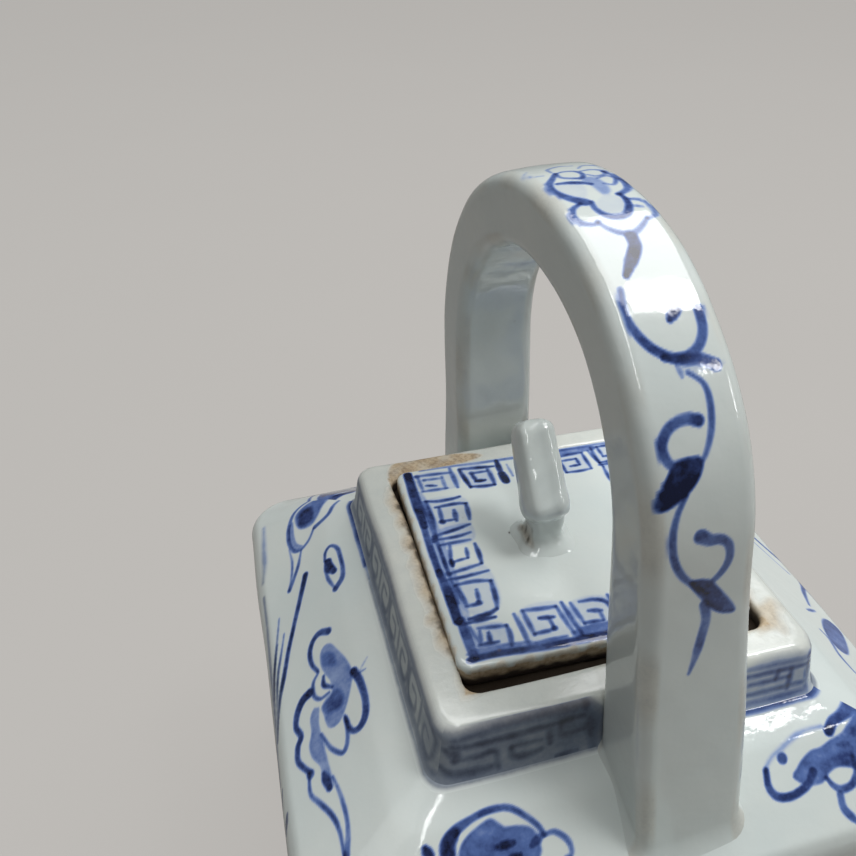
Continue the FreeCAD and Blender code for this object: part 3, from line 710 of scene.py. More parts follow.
def tendril(canvas):
    """The stem with its curls and two dark leaves, down to the tail."""
    stroke(canvas, [(0.4, -38.8), (2, -40.5), (2.2, -43), (1.6, -46), (0.4, -48.6), (-0.8, -50)],
           0.9, 0.6)
    stroke(canvas, [(0.2, -44.6), (-1.5, -44.1), (-3.6, -44.8), (-4.9, -46.6), (-4.6, -48.6),
                    (-3.2, -50)], 1.3, 0.68, ends=(1.2, 0.9))
    wash(canvas, [(-0.6, -48.8), (-3.4, -48.8), (-5, -50.6), (-6.6, -53), (-6.6, -54.6), (-5, -54.4),
                  (-3, -53.4), (-1.2, -51.8), (-0.2, -50)], 0.88)
    stroke(canvas, [(-2.8, -53.2), (-4.2, -55.6), (-4.9, -58.5), (-4.7, -61.5), (-3.6, -64),
                    (-1.6, -66.2), (0.4, -68)], 1.05, 0.62)
    stroke(canvas, [(-1.1, -59), (0.2, -59.8), (1.8, -60.1), (3, -61.3), (3.2, -63.4), (2.2, -65.2),
                    (0.4, -66.6)], 1.2, 0.66, ends=(1.6, 0.7))
    wash(canvas, [(-2.4, -65.4), (0.4, -65.8), (2.2, -67.8), (4, -70.2), (4.8, -72), (3, -71.8),
                  (1.2, -70.6), (-0.6, -68.4)], 0.72)
    stroke(canvas, [(0, -69.5), (0.4, -72), (-0.2, -75), (-1, -78), (-1.8, -80.4)],
           1.4, 0.58, ends=(1.0, 0.3))


def paint_handle(canvas):
    blossom(canvas)
    for half in (canvas, canvas.placed(0, 5.0, turn=180)):
        crescent_and_bud(half)
        tendril(half)


# Motifs of the walls
def wall_flower(canvas):
    """A full flower on a dark stem, with a curling tendril on each side."""
    blossom(canvas.placed(0, 53, 1.3))
    stroke(canvas, [(-3.9, 20.6), (-3.4, 16), (-1.6, 11.5), (1, 8)], 1.5, 0.74, ends=(0.6, 0.4))
    for flip in (1, -1):
        tendril(canvas.placed(-2, 60, 0.78, 24 * flip, flip))
        half = canvas.placed(-2, 0, 1, 0, flip)
        stroke(half, [(2, 18), (7, 23), (12.4, 30)], 0.9, 0.6, ends=(0.6, 0.9))


def paint_wall(side, canvas):
    """Border lines at the foot, one flower, or two beside the spout, and reeds on the left wall."""
    canvas.cover("ash", 0.5 * fade(canvas.v - 48, 12))
    reach = half_width if side in ACROSS else half_depth
    stroke(canvas, [(-reach, 3.5), (0, 3.2), (reach, 3.5)], 1.1, 0.6, ends=(1.0, 1.0))
    stroke(canvas, [(-reach, 1.4), (0, 1.2), (reach, 1.4)], 0.6, 0.5, ends=(1.0, 1.0))
    if side == "front":
        for flip in (1, -1):
            blossom(canvas.placed(-33 * flip, 52, 1.1, 0, flip))
            tendril(canvas.placed(-34 * flip, 58, 0.66, 10 * flip, flip))
    else:
        wall_flower(canvas)
    if side == "left":
        for place, tip in ((-40, 50), (-36, 47), (-33, 52), (-29, 49)):
            stroke(canvas, [(place, 62), (place - 0.8, 56), (place - 2.2, tip)],
                   0.8, 0.55, ends=(0.9, 0.3))


# The slabs of the pot
mouth_crowding = 0.6
crowding_band = 2.0
dome_lean = np.array((0.5, 0.5, 0.0, 0.86))
shoulder_rise = collar_low - shoulder_height
body_path = rounded_path(
    [(half_width, half_depth, body_corner, wall_low),
     (half_width, half_depth, body_corner, shoulder_height),
     (collar_half_width, collar_half_depth, collar_corner, collar_low),
     (rim_half_width, rim_half_depth, collar_corner, rim_height),
     (mouth_half_width, mouth_half_depth, mouth_corner, rim_height),
     (mouth_half_width, mouth_half_depth, mouth_corner, collar_low)],
    trims=(shoulder_edge_trim, slip_fillet, rim_trim, mouth_trim),
    pitches=(wall_pitch, paint_pitch, paint_pitch, rim_pitch, inner_pitch))
wall_joint = int(np.argmax(body_path[:, 3] >= wall_high))
collar_joint = int(np.argmax(body_path[:, 3] >= collar_low))
climb_share = fade(body_path[:collar_joint, 3] - shoulder_height, shoulder_rise)
up_to_knee = -shoulder_knee_softness * climb_share / shoulder_knee
past_knee = -shoulder_knee_softness * (1 - climb_share) / (1 - shoulder_knee)
dome = -np.logaddexp(up_to_knee, past_knee) / shoulder_knee_softness
body_path[:collar_joint] += shoulder_dome * np.maximum(dome, 0)[:, None] * dome_lean


def slab_loop(part):
    """The closed section of a wall, shoulder or collar slab, and how many of its rows are outside."""
    cavity = (half_width - wall_thickness, half_depth - wall_thickness, cavity_corner)
    mouth = (mouth_half_width, mouth_half_depth, mouth_corner)
    if part == "wall":
        outer = body_path[:wall_joint + 1]
        inner = [cavity + (outer[-1][3],), cavity + (wall_low,)]
    if part == "shoulder":
        outer = body_path[wall_joint:collar_joint + 1]
        inner = [mouth + (outer[-1][3],), mouth + (collar_low - shoulder_lip,),
                 cavity + (cavity_turn,), cavity + (outer[0][3],)]
    if part == "collar":
        outer = body_path[collar_joint:]
        inner = []
    return np.vstack([outer, np.array(inner).reshape(-1, 4), outer[:1]]), len(outer)


def slab_points(side, across, rows):
    """Points of a slab: across from one mitred corner to the other, rows of its section."""
    widths, depths, corners, heights = rows.T
    reach, out = (widths, depths) if side in ACROSS else (depths, widths)
    share = np.abs(across)
    angle = fade(share - arc_share, 1 - arc_share) * math.pi / 4
    along = (reach - corners) * np.minimum(share / arc_share, 1) + corners * np.sin(angle)
    along = along * np.sign(across)
    away = out - corners * (1 - np.cos(angle))
    places = {"front": (along, -away), "back": (along, away),
              "left": (-away, along), "right": (away, along)}
    return np.stack([*places[side], heights], -1), along


collar_face_depth = 3.0
rim_margin = 0.2


def face_height(part, side, section, outside):
    """How far each row of a slab is up its painted face, from that face's own line."""
    out = section[:, 1] if side in ACROSS else section[:, 0]
    steps = np.hypot(np.diff(out), np.diff(section[:, 3]))
    climb = np.concatenate([[0], np.cumsum(steps)])
    if part == "shoulder":
        climb = climb - climb[outside - 1]
    if part == "collar":
        on_face = out > rim_half_width - collar_face_depth
        climb = np.where(on_face, section[:, 3] - collar_low, off_canvas)
        climb = np.where(section[:, 3] > rim_height - rim_margin, off_canvas, climb)
    climb[outside:] = off_canvas
    climb[-1] = climb[0]
    return climb


rim_band = 2.0
rim_blush = 0.17
mouth_bare = 0.3
mouth_bare_down = 4.0
mouth_painted_shade_depth = 0.6
bloom_reach = 2.0
left_bloom_reach = 3.0
left_bloom_middle = 2.0
left_bloom_half = 24.0
left_stain_reach = 0.8
corner_bloom_reach = 5.5
front_bloom_reach = 1.4
front_bloom_start = -8.0
front_bloom_run = 14.0
bare_patch = [(-25.3, 24), (-26, 28), (-25, 31), (-23, 32.6), (-20, 34), (-18, 34.3), (-15, 33.6),
              (-11, 32), (-5.6, 30.4), (-6, 29.2), (-12, 28), (-18, 27.6), (-24, 27), (-24.6, 24)]


def bare_rim(points, canvas):
    """Glaze that stops at the mouth with painted shade down its wall, a tan bloom along it, and a bare
    patch at the back left corner.
    """
    x, y, z = points.T
    uneven = ripple(points, 2.2)
    fine = 0.6 * ripple(points, 1.3) + 0.5 * ripple(points + 5, 0.53) * ripple(points, 3.1)
    past = np.maximum(np.abs(x) - mouth_half_width, np.abs(y) - mouth_half_depth)
    down = rim_height - z
    on_rim = down < rim_band
    canvas.cover("bare", fade(mouth_bare + 0.35 * uneven - past, 0.4) * (down < mouth_bare_down))
    # Painted shade: dark brown down the mouth wall, deepening below the rim.
    canvas.cover("stain_and_shade", fade(down - mouth_painted_shade_depth + 0.3 * uneven, 0.8) * (past < mouth_painted_shade_depth))
    soaked = fade(0.45 + 0.7 * ripple(points, 7.0))
    bloom = fade(1 - (past - 0.2) / (bloom_reach + uneven))
    canvas.cover("bare", 0.5 * bloom * soaked * on_rim)
    on_left = on_rim * (x < 0) * fade(left_bloom_half - np.abs(y - left_bloom_middle), 4)
    canvas.cover("bare", on_left * fade(left_bloom_reach + 0.5 * uneven + 0.4 * fine - past, 2.8, 0.9))
    grainy = 0.9 * fine + 0.3 * ripple(points, 5.0)
    canvas.cover("stain_and_shade", on_left * fade(left_stain_reach + grainy - past, 0.9, 0.8))
    corner_gap = np.hypot(x - mouth_half_width, y + mouth_half_depth - 2)
    canvas.cover("bare", fade(corner_bloom_reach + 1.5 * uneven - corner_gap, 4, 0.7) * on_rim)
    canvas.cover("bare", rim_blush * fade(1.6 - down))
    on_front = on_rim * (y < 0) * fade(x - front_bloom_start, front_bloom_run)
    canvas.cover("bare", on_front * fade(front_bloom_reach + 0.6 * uneven - past, 1.6, 0.8))
    top = Canvas(x, np.where(down < 1.4, y, off_canvas), {"pigment": np.zeros(len(x))})
    wash(top, bare_patch, 0.95, soft=0.8)
    canvas.cover("bare", top.pigment * (1 + 0.3 * uneven))
    canvas.cover("stain_and_shade", top.pigment * fade(0.35 * ripple(points, 0.45) + 0.25 * fine, most=0.5))


def make_slab(part, side):
    section, outside = slab_loop(part)
    mesh, column, row = grid_mesh(slab_columns, len(section) - 1)
    across = column / slab_columns * 2 - 1
    points, reach = slab_points(side, across, section[row])
    canvas = Canvas(reach, face_height(part, side, section, outside)[row])
    if part == "wall":
        paint_wall(side, canvas)
    if part == "shoulder":
        paint_shoulder(side, canvas)
    if part == "collar":
        paint_collar(side, canvas)
        bare_rim(points, canvas)
    if (part, side) == ("collar", "left"):
        crowd = fade(mouth_half_width + crowding_band + points[:, 0], crowding_band)
        points[:, 0] += mouth_crowding * crowd * (1 - across ** 4)
    name = part + "_" + side
    close_piece(name + "_glazed", mesh, hand_made(points), canvas, "pot", [name])


# The lid and its knob
lid_half = 25.5
lid_corner = 2.4
lid_corner_power = 6
lid_low = low("lid_plate", 2)
lid_high = high("lid_plate", 2)
lid_edge_trim = 0.9
lid_top_share = 0.7
lid_shift = np.array((0.0, 0.9, 0.0))
lid_turn = math.radians(-1.2)
lid_under = 18.0
lid_pitches = (0.26, 0.35, 1.2)
lid_bare = 0.9
lid_edge_wear = 0.4
lid_side_painted_shade = 2.2
lid_wave = 0.12
lid_wave_reach = 9.0
knob_shift = -4.0
foot_patch = (knob_shift - 2.4, 1.6)
foot_patch_reach = 1.3
foot_pit = (knob_shift - 4.2, 2.6)
foot_pit_reach = 0.42


def lid_place(points):
    cos, sin = math.cos(lid_turn), math.sin(lid_turn)
    x = points[:, 0] * cos - points[:, 1] * sin
    y = points[:, 0] * sin + points[:, 1] * cos
    return np.stack([x, y, points[:, 2]], -1) + lid_shift


def make_lid_plate():
    """A square grid whose rings run out over the top, round the edge and in under the plate."""
    section = rounded_path(
        [(0, lid_high), (lid_half, lid_high), (lid_half, lid_low), (lid_under, lid_low)],
        trims=(lid_edge_trim, lid_edge_trim), pitches=lid_pitches)
    rings = len(section) - 1
    mesh, column, row = grid_mesh(2 * rings, 2 * rings)
    a, b = column - rings, row - rings
    ring = np.maximum(np.abs(a), np.abs(b))
    half, height = section[ring].T
    x, y = half * a / np.maximum(ring, 1), half * b / np.maximum(ring, 1)
    corner = lid_corner * (half / lid_half) ** lid_corner_power
    over_x, over_y = np.abs(x) - (half - corner), np.abs(y) - (half - corner)
    at_corner = (over_x > 0) & (over_y > 0)
    stretch = np.maximum(over_x, over_y) / np.maximum(np.hypot(over_x, over_y), 1e-9)
    x = np.where(at_corner, np.sign(x) * (half - corner + over_x * stretch), x)
    y = np.where(at_corner, np.sign(y) * (half - corner + over_y * stretch), y)
    points = np.stack([x, y, height], -1)
    on_top = height > lid_high - lid_edge_trim * lid_top_share
    canvas = Canvas(x, np.where(on_top, y, off_canvas))
    paint_lid(canvas)
    edge = np.maximum(np.abs(x), np.abs(y)) - lid_half
    uneven = ripple(points, 1.3)
    down = lid_high - height
    canvas.cover("bare", fade(down - lid_bare + 0.5 * uneven, 0.4))
    canvas.cover("bare", 0.6 * fade(edge + lid_edge_wear + 0.5 * uneven, 0.4))
    # Painted shade: the lid's side darkens below its top edge, down into the gap.
    canvas.cover("stain_and_shade", fade(down - lid_side_painted_shade + 0.4 * uneven, 0.8))
    patch = np.hypot(x - foot_patch[0], (y - foot_patch[1]) * 0.6)
    canvas.cover("bare", 0.5 * on_top * fade(foot_patch_reach - patch, 0.9))
    pit = np.hypot(x - foot_pit[0], y - foot_pit[1])
    canvas.cover("stain_and_shade", on_top * fade(foot_pit_reach - pit, 0.25))
    points[:, 2] += lid_wave * ripple(points, lid_wave_reach) * on_top
    close_piece("lid_plate_glazed", mesh, lid_place(points), canvas, "lid", ["lid_plate"])


knob_post = 6.2
knob_post_shift = 1.3
knob_post_height = 11.0
knob_post_sink = 1.2
knob_post_round = 2.0
knob_post_steps = 5
knob_post_cuts = 18
knob_spread = 2.6
knob_spread_height = 3.4
knob_bar = (8.6, 7.6, 18.2)
knob_bar_shift = 0.6
knob_bar_corner = 2.7
knob_bar_steps = 6
knob_lean = math.radians(-41.0)
knob_overhang = -3.2
knob_bar_low = 6.8
knob_bar_taper = 0.14
knob_voxel = 0.3
knob_rubs = 18
crease_inset = 0.35
crease_low = 0.7
crease_high = 4.6
crease_bare = 0.55
crease_stain = 0.75
thumb_mark = 0.16
thumb_reach = 2.7
nail_mark = 0.06
nail_reach = 1.2


def rounded_block(shape, size, rounding, steps):
    """A block of clay with its edges rubbed round, standing on its own low end."""
    block = bmesh.ops.create_cube(shape, size=1.0)["verts"]
    bmesh.ops.scale(shape, vec=Vector(size), verts=block)
    bmesh.ops.translate(shape, vec=Vector((0, 0, size[2] / 2)), verts=block)
    edges = list({edge for vert in block for edge in vert.link_edges})
    bmesh.ops.bevel(shape, geom=edges, offset=rounding, segments=steps, profile=0.5,
                    affect="EDGES", material=-1)


def stain_knob_foot(mesh, spot):
    """Soot and bare clay in the crease at the left of the post."""
    points = vertex_rows(mesh) / MM - spot
    x, z = points[:, 0], points[:, 2]
    left = fade(knob_post_shift - knob_post / 2 + crease_inset - x, 0.6)
    crease = left * fade(crease_high - z, 1.2) * fade(z - crease_low, 0.8)
    streak = fade(ripple(points * np.array((1, 1, 0.25)), 0.7) * 1.4)
    keep_layer(mesh, "bare", crease * crease_bare)
    keep_layer(mesh, "stain_and_shade", crease * streak * crease_stain)


def press_knob(mesh):
    """Shallow finger marks all over the knob."""
    places = vertex_rows(mesh)
    spots = places / MM
    marks = thumb_mark * ripple(spots, thumb_reach) + nail_mark * ripple(spots + 11.0, nail_reach)
    places = places + vertex_rows(mesh, "normal") * marks[:, None] * MM
    mesh.vertices.foreach_set("co", places.ravel())


def knob_clay(spot):
    """A short flared post and a stubby leaning bar, set on the lid but not yet pressed together."""
    shape = bmesh.new()
    rounded_block(shape, (knob_post, knob_post, knob_post_height), knob_post_round, knob_post_steps)
    uprights = [edge for edge in shape.edges
                if abs(edge.verts[0].co.z - edge.verts[1].co.z) > knob_post]
    bmesh.ops.subdivide_edges(shape, edges=uprights, cuts=knob_post_cuts)
    bmesh.ops.translate(shape, vec=Vector((knob_post_shift, 0, -knob_post_sink)), verts=shape.verts)
    for vert in shape.verts:
        foot = max(0.0, 1 - vert.co.z / knob_spread_height) ** 3
        flare = 1 + foot * knob_spread * 2 / knob_post
        vert.co.x = knob_post_shift + (vert.co.x - knob_post_shift) * flare
        vert.co.y = vert.co.y * flare
    before = set(shape.verts)
    rounded_block(shape, knob_bar, knob_bar_corner, knob_bar_steps)
    bar = [vert for vert in shape.verts if vert not in before]
    for vert in bar:
        slim = 1 - knob_bar_taper * vert.co.z / knob_bar[2]
        vert.co.x *= slim
        vert.co.y *= slim
    lean = Matrix.Rotation(knob_lean, 3, "X")
    bmesh.ops.rotate(shape, cent=Vector(), matrix=lean, verts=bar)
    bmesh.ops.translate(shape, vec=Vector((knob_bar_shift, knob_overhang, knob_bar_low)), verts=bar)
    turn = Matrix.Rotation(lid_turn, 3, "Z")
    bmesh.ops.rotate(shape, cent=Vector(), matrix=turn, verts=shape.verts)
    bmesh.ops.translate(shape, vec=Vector(spot), verts=shape.verts)
    bmesh.ops.scale(shape, vec=Vector((MM, MM, MM)), verts=shape.verts)
    return mesh_from("knob_rough", shape)


def make_knob():
    """The post and the bar pressed together, then smoothed into one lump."""
    spot = lid_place(np.array([(knob_shift, 0.0, lid_high)]))[0]
    rough = knob_clay(spot)
    lump = add_object("knob_rough", rough)
    knead = lump.modifiers.new("knead", "REMESH")
    knead.mode = "VOXEL"
    knead.voxel_size = knob_voxel * MM
    rub = lump.modifiers.new("rub", "SMOOTH")
    rub.factor = 0.5
    rub.iterations = knob_rubs
    ready = bpy.context.evaluated_depsgraph_get()
    smooth = bpy.data.meshes.new_from_object(lump.evaluated_get(ready))
    bpy.data.objects.remove(lump)
    bpy.data.meshes.remove(rough)
    stain_knob_foot(smooth, spot)
    press_knob(smooth)
    shape = bmesh.new()
    shape.from_mesh(smooth)
    bpy.data.meshes.remove(smooth)
    place_piece("lid_knob_glazed", shape, "lid", ["lid_knob"])


# The strap handle
strap_centre = 124.0
strap_inner = 31.81
strap_outer = 43.21
splay_inner = math.radians(4.5)
splay_outer = math.radians(7.4)
strap_widths = (14.8, 18.4)
strap_foot_height = 67.5
strap_crown_height = 167.2
strap_edge = 2.6
strap_crown = 0.15
strap_fillet = 4.5
strap_fillet_share = 0.6
strap_sink = 2.2
strap_shift = np.array((1.9, 0.3, 0.0))
strap_pitch = 0.29
strap_columns = (50, 14, 16, 6)
strap_wear = 0.26
strap_root_bare = 0.5
strap_root_reach = 1.6
strap_wave = 0.16
strap_wave_reach = 12.0
strap_ripple = 0.035
strap_ripple_reach = 3.6
leg_search = np.linspace(0, 70, 1401)
strap_pivot = np.array((0, 0, shoulder_height))
strap_turn = np.array(Matrix.Rotation(math.radians(-4.2), 3, "X")
                      @ Matrix.Rotation(math.radians(-2.0), 3, "Y")
                      @ Matrix.Rotation(math.radians(1.8), 3, "Z"))


def strap_place(points):
    return (points - strap_pivot) @ strap_turn.T + strap_pivot + strap_shift


def shoulder_surface(y):
    """Height of the front or back shoulder over a point, from its distance to the middle."""
    rise = fade(half_depth - np.abs(y), half_depth - collar_half_depth)
    return shoulder_height + shoulder_rise * rise


def leg_length(radius, splay, end):
    """How far the straight leg runs before it sinks into the shoulder, front (-1) or back (1)."""
    y = radius * math.cos(splay) + leg_search * math.sin(splay)
    z = strap_centre + radius * math.sin(splay) - leg_search * math.cos(splay)
    points = strap_place(np.stack([0 * y, end * y, z], -1))
    sunk = points[:, 2] < shoulder_surface(points[:, 1]) - strap_sink
    return leg_search[int(np.argmax(sunk))]


def strap_edge_point(radius, splay, share, leg):
    """A point of the strap's inner or outer line: share 0 to 1 over the arc, 1 to 2 down the leg."""
    angle = np.minimum(share, 1) * (math.pi / 2 - splay)
    run = np.maximum(share - 1, 0) * leg
    y = radius * np.sin(angle) + run * math.sin(splay)
    z = strap_centre + radius * np.cos(angle) - run * math.cos(splay)
    return y, z


def soft_section(columns_outer, columns_side, columns_inner, columns_corner):
    """Round a four-sided section: straight shares and the direction of the rounding at each column."""
    turn = np.linspace(0, math.pi / 2, columns_corner + 1)[1:]
    runs = ((1, 0, columns_outer), (0, -1, columns_side), (-1, 0, columns_inner), (0, 1, columns_side))
    rows = []
    spot = np.array((-1.0, 1.0))
    for index, (da, db, count) in enumerate(runs):
        face = math.pi / 2 * (1 - index)
        for share in np.linspace(0, 1, count + 1)[:-1]:
            place = spot + 2 * share * np.array((da, db))
            rows.append((place[0], place[1], math.cos(face), math.sin(face)))
        spot = spot + 2 * np.array((da, db))
        for bend in np.concatenate([[0], turn[:-1]]):
            rows.append((spot[0], spot[1], math.cos(face - bend), math.sin(face - bend)))
    rows.append(rows[0])
    return np.array(rows)


def make_handle():
    arc = strap_outer * (math.pi / 2 - splay_outer)
    section = soft_section(*strap_columns)
    legs = {end: (leg_length(strap_inner, splay_inner, end), leg_length(strap_outer, splay_outer, end))
            for end in (-1, 1)}
    rows = int(2 * (arc + legs[1][1]) / strap_pitch)
    mesh, column, row = grid_mesh(len(section) - 1, rows)
    straight_a, straight_b, round_a, round_b = section[column].T
    run = row / rows * 4 - 2
    end = np.where(run < 0, -1, 1)
    leg_inner = np.where(run < 0, legs[-1][0], legs[1][0])
    leg_outer = np.where(run < 0, legs[-1][1], legs[1][1])
    share = np.abs(run)
    inner_y, inner_z = strap_edge_point(strap_inner, splay_inner, share, leg_inner)
    outer_y, outer_z = strap_edge_point(strap_outer, splay_outer, share, leg_outer)
    thick_y, thick_z = outer_y - inner_y, outer_z - inner_z
    thickness = np.hypot(thick_y, thick_z)
    middle_z = (inner_z + outer_z) / 2
    fall = (strap_crown_height - middle_z) / (strap_crown_height - strap_foot_height)
    width = between(strap_widths, fall)
    above_root = np.maximum((2 - share) * leg_outer - strap_sink, 0)
    bend = np.clip(strap_fillet - above_root, 0, strap_fillet)
    flare = strap_fillet - np.sqrt(strap_fillet ** 2 - bend ** 2)
    deep_flare = flare * strap_fillet_share
    across_mm = straight_a * (width / 2 - strap_edge) + (strap_edge + flare) * round_a
    depth_mm = straight_b * (thickness / 2 - strap_edge) + (strap_edge + deep_flare) * round_b
    depth_mm = depth_mm + strap_crown * (1 - straight_a ** 2) * (round_b > 0.99)
    y = (inner_y + outer_y) / 2 + depth_mm * thick_y / thickness
    z = middle_z + depth_mm * thick_z / thickness
    points = strap_place(np.stack([across_mm, end * y, z], -1))
    travel = np.where(share < 1, share * arc, arc + (share - 1) * leg_outer) * end
    canvas = Canvas(across_mm, np.where(round_b > 0.4, travel, off_canvas))
    paint_handle(canvas)
    at_edge = (np.abs(round_a) > 0.15) & (np.abs(round_b) > 0.15)
    worn = at_edge & (canvas.pigment < 0.02)
    canvas.cover("bare", strap_wear * worn * fade(0.4 + ripple(points, 6.0)))
    root = fade(strap_root_reach + 0.8 * ripple(points, 2.4) - above_root, 1.2)
    canvas.cover("bare", strap_root_bare * (end > 0) * root)
    slow = [ripple(points, strap_wave_reach), ripple(points + 20, strap_wave_reach), 0 * y]
    quick = [0 * y, ripple(points, strap_ripple_reach), ripple(points + 9, strap_ripple_reach)]
    points = points + strap_wave * np.stack(slow, -1) + strap_ripple * np.stack(quick, -1)
    close_piece("handle_strap_glazed", mesh, points, canvas, "pot", ["handle_strap"])


# The spout
spout_reach = 31.0
spout_low = 40.0
spout_climb = 55.0
spout_width = (30.0, 15.0)
spout_rise = (34.0, 15.0)
spout_tilt = (90.0, 58.0)
spout_wall = 3.5
spout_corner_share = 0.3
spout_lip_steps = 8
spout_rows = 150
spout_columns = (34, 34, 34, 8)
spout_root = -0.05
spout_sink = 1.5
spout_bend = 1.3
spout_fillet = 3.0
spout_fillet_run = 0.07
spout_front_paint = (-90.0, -15.0)
spout_side_paint = (-18.0, 42.0)
spout_lip_run = 60.0


def make_spout():
    """A bent square tube: up its outside, round the lip and back down its inside."""
    section = soft_section(*spout_columns)
    half_wall = spout_wall / 2
    lip = np.linspace(0, math.pi, spout_lip_steps + 1)[1:-1]
    steps = [(spout_root, 0.0, 0.0)]
    steps += [(share, 0.0, 0.0) for share in np.linspace(0, 1, spout_rows)]
    steps += [(1.0, half_wall * (1 - math.cos(turn)), half_wall * math.sin(turn)) for turn in lip]
    steps += [(share, spout_wall, 0.0) for share in np.linspace(1, 0, spout_rows // 3)]
    steps += [(spout_root, spout_wall, 0.0), steps[0]]
    mesh, column, row = grid_mesh(len(section) - 1, len(steps) - 1)
    straight_a, straight_b, round_a, round_b = section[column].T
    share, inset, proud = np.array(steps)[row].T
    on = fade(share)
    width = between(spout_width, on)
    rise = between(spout_rise, on)
    corner = np.minimum(width, rise) * spout_corner_share
    root = 1 - fade(on, spout_fillet_run)
    luted = spout_fillet * (1 - np.sqrt(1 - root ** 2))
    a = straight_a * (width / 2 - corner) + (corner + luted) * round_a
    b = straight_b * (rise / 2 - corner) + (corner + luted) * round_b
    a, b = a * (1 - 2 * inset / width), b * (1 - 2 * inset / rise)
    tilt = np.radians(spout_tilt[0] - spout_tilt[1] * on)
    y = -half_depth - spout_reach * np.sin(on * math.pi / 2) + np.where(share < 0, spout_sink, 0.0)
    z = spout_low + spout_climb * on ** spout_bend
    y = y + b * np.cos(tilt) - proud * np.sin(tilt)
    z = z + b * np.sin(tilt) + proud * np.cos(tilt)
    points = np.stack([a, y, z], -1)
    outside = (inset == 0) & (share >= 0)
    front_up = np.where(outside, between(spout_front_paint, on), off_canvas)
    canvas = Canvas(np.where(round_b < -0.4, a, off_canvas), front_up)
    tendril(canvas)
    side_up = np.where(outside, between(spout_side_paint, on), off_canvas)
    sides = Canvas(np.where(np.abs(round_a) > 0.6, b, off_canvas), side_up, canvas.layers)
    blossom(sides.placed(0, 4, 0.7))
    below_lip = np.where(outside, spout_lip_run * (1 - on), off_canvas)
    stroke(Canvas(0 * a, below_lip, canvas.layers), [(-1, 2.2), (1, 2.2)], 1.2, 0.6)
    close_piece("spout_glazed", mesh, points, canvas, "pot", ["spout"])


# The floor of the pot
base_low = low("base_slab", 2)
base_round = 3.0
base_edge = 0.3
base_pitches = (2.0, 0.6, 2.0)
base_inset = 14.0
base_inset_corner = 4.0
base_columns = 96
base_bare = 0.8


def make_base():
    """One ring grid round all four sides, open in the middle above and below, then filled."""
    inner = (half_width - base_inset, half_depth - base_inset, base_inset_corner)
    outer = (half_width, half_depth, body_corner)
    section = rounded_path(
        [inner + (base_low,), outer + (base_low,), outer + (wall_low,), inner + (wall_low,)],
        trims=(base_round, base_edge), pitches=base_pitches)
    mesh, column, row = grid_mesh(base_columns * 4, len(section) - 1)
    points = np.zeros((len(row), 3))
    for index, side in enumerate(("front", "right", "back", "left")):
        mine = (column >= index * base_columns) & (column <= (index + 1) * base_columns)
        share = (column[mine] - index * base_columns) / base_columns * 2 - 1
        share = share if side in ("front", "right") else -share
        points[mine] = slab_points(side, share, section[row[mine]])[0]
    canvas = Canvas(points[:, 0], points[:, 1])
    canvas.cover("bare", fade(base_low + base_bare + 0.5 * ripple(points, 5.0) - points[:, 2], 0.5))
    close_piece("base_slab_glazed", mesh, points, canvas, "pot", ["base_slab"])


# Finishes, with the scale of each grain in waves per metre
glaze_wave_scale = 90.0
glaze_peel_scale = 420.0
glaze_drift_scale = 45.0
glaze_index = 1.62
glaze_bump = (0.5, 0.0002)
speck_scale = 150.0
speck_patch_scale = 70.0
speck_strength = 0.55
pool_scale = 300.0
brush_hair_scale = 1500.0
clay_patch_scale = 260.0
clay_grain_scale = 1900.0
clay_gloss = 0.15
clay_bump = (0.4, 0.0003)
dry_soak = 0.05
seat_painted_shade = 0.97


def srgb(red, green, blue):
    """A colour written as a painter's 0 to 255 mix, in the renderer's linear light."""
    values = []
    for part in (red, green, blue):
        part = part / 255
        values.append(part / 12.92 if part <= 0.04045 else ((part + 0.055) / 1.055) ** 2.4)
    return (*values, 1.0)


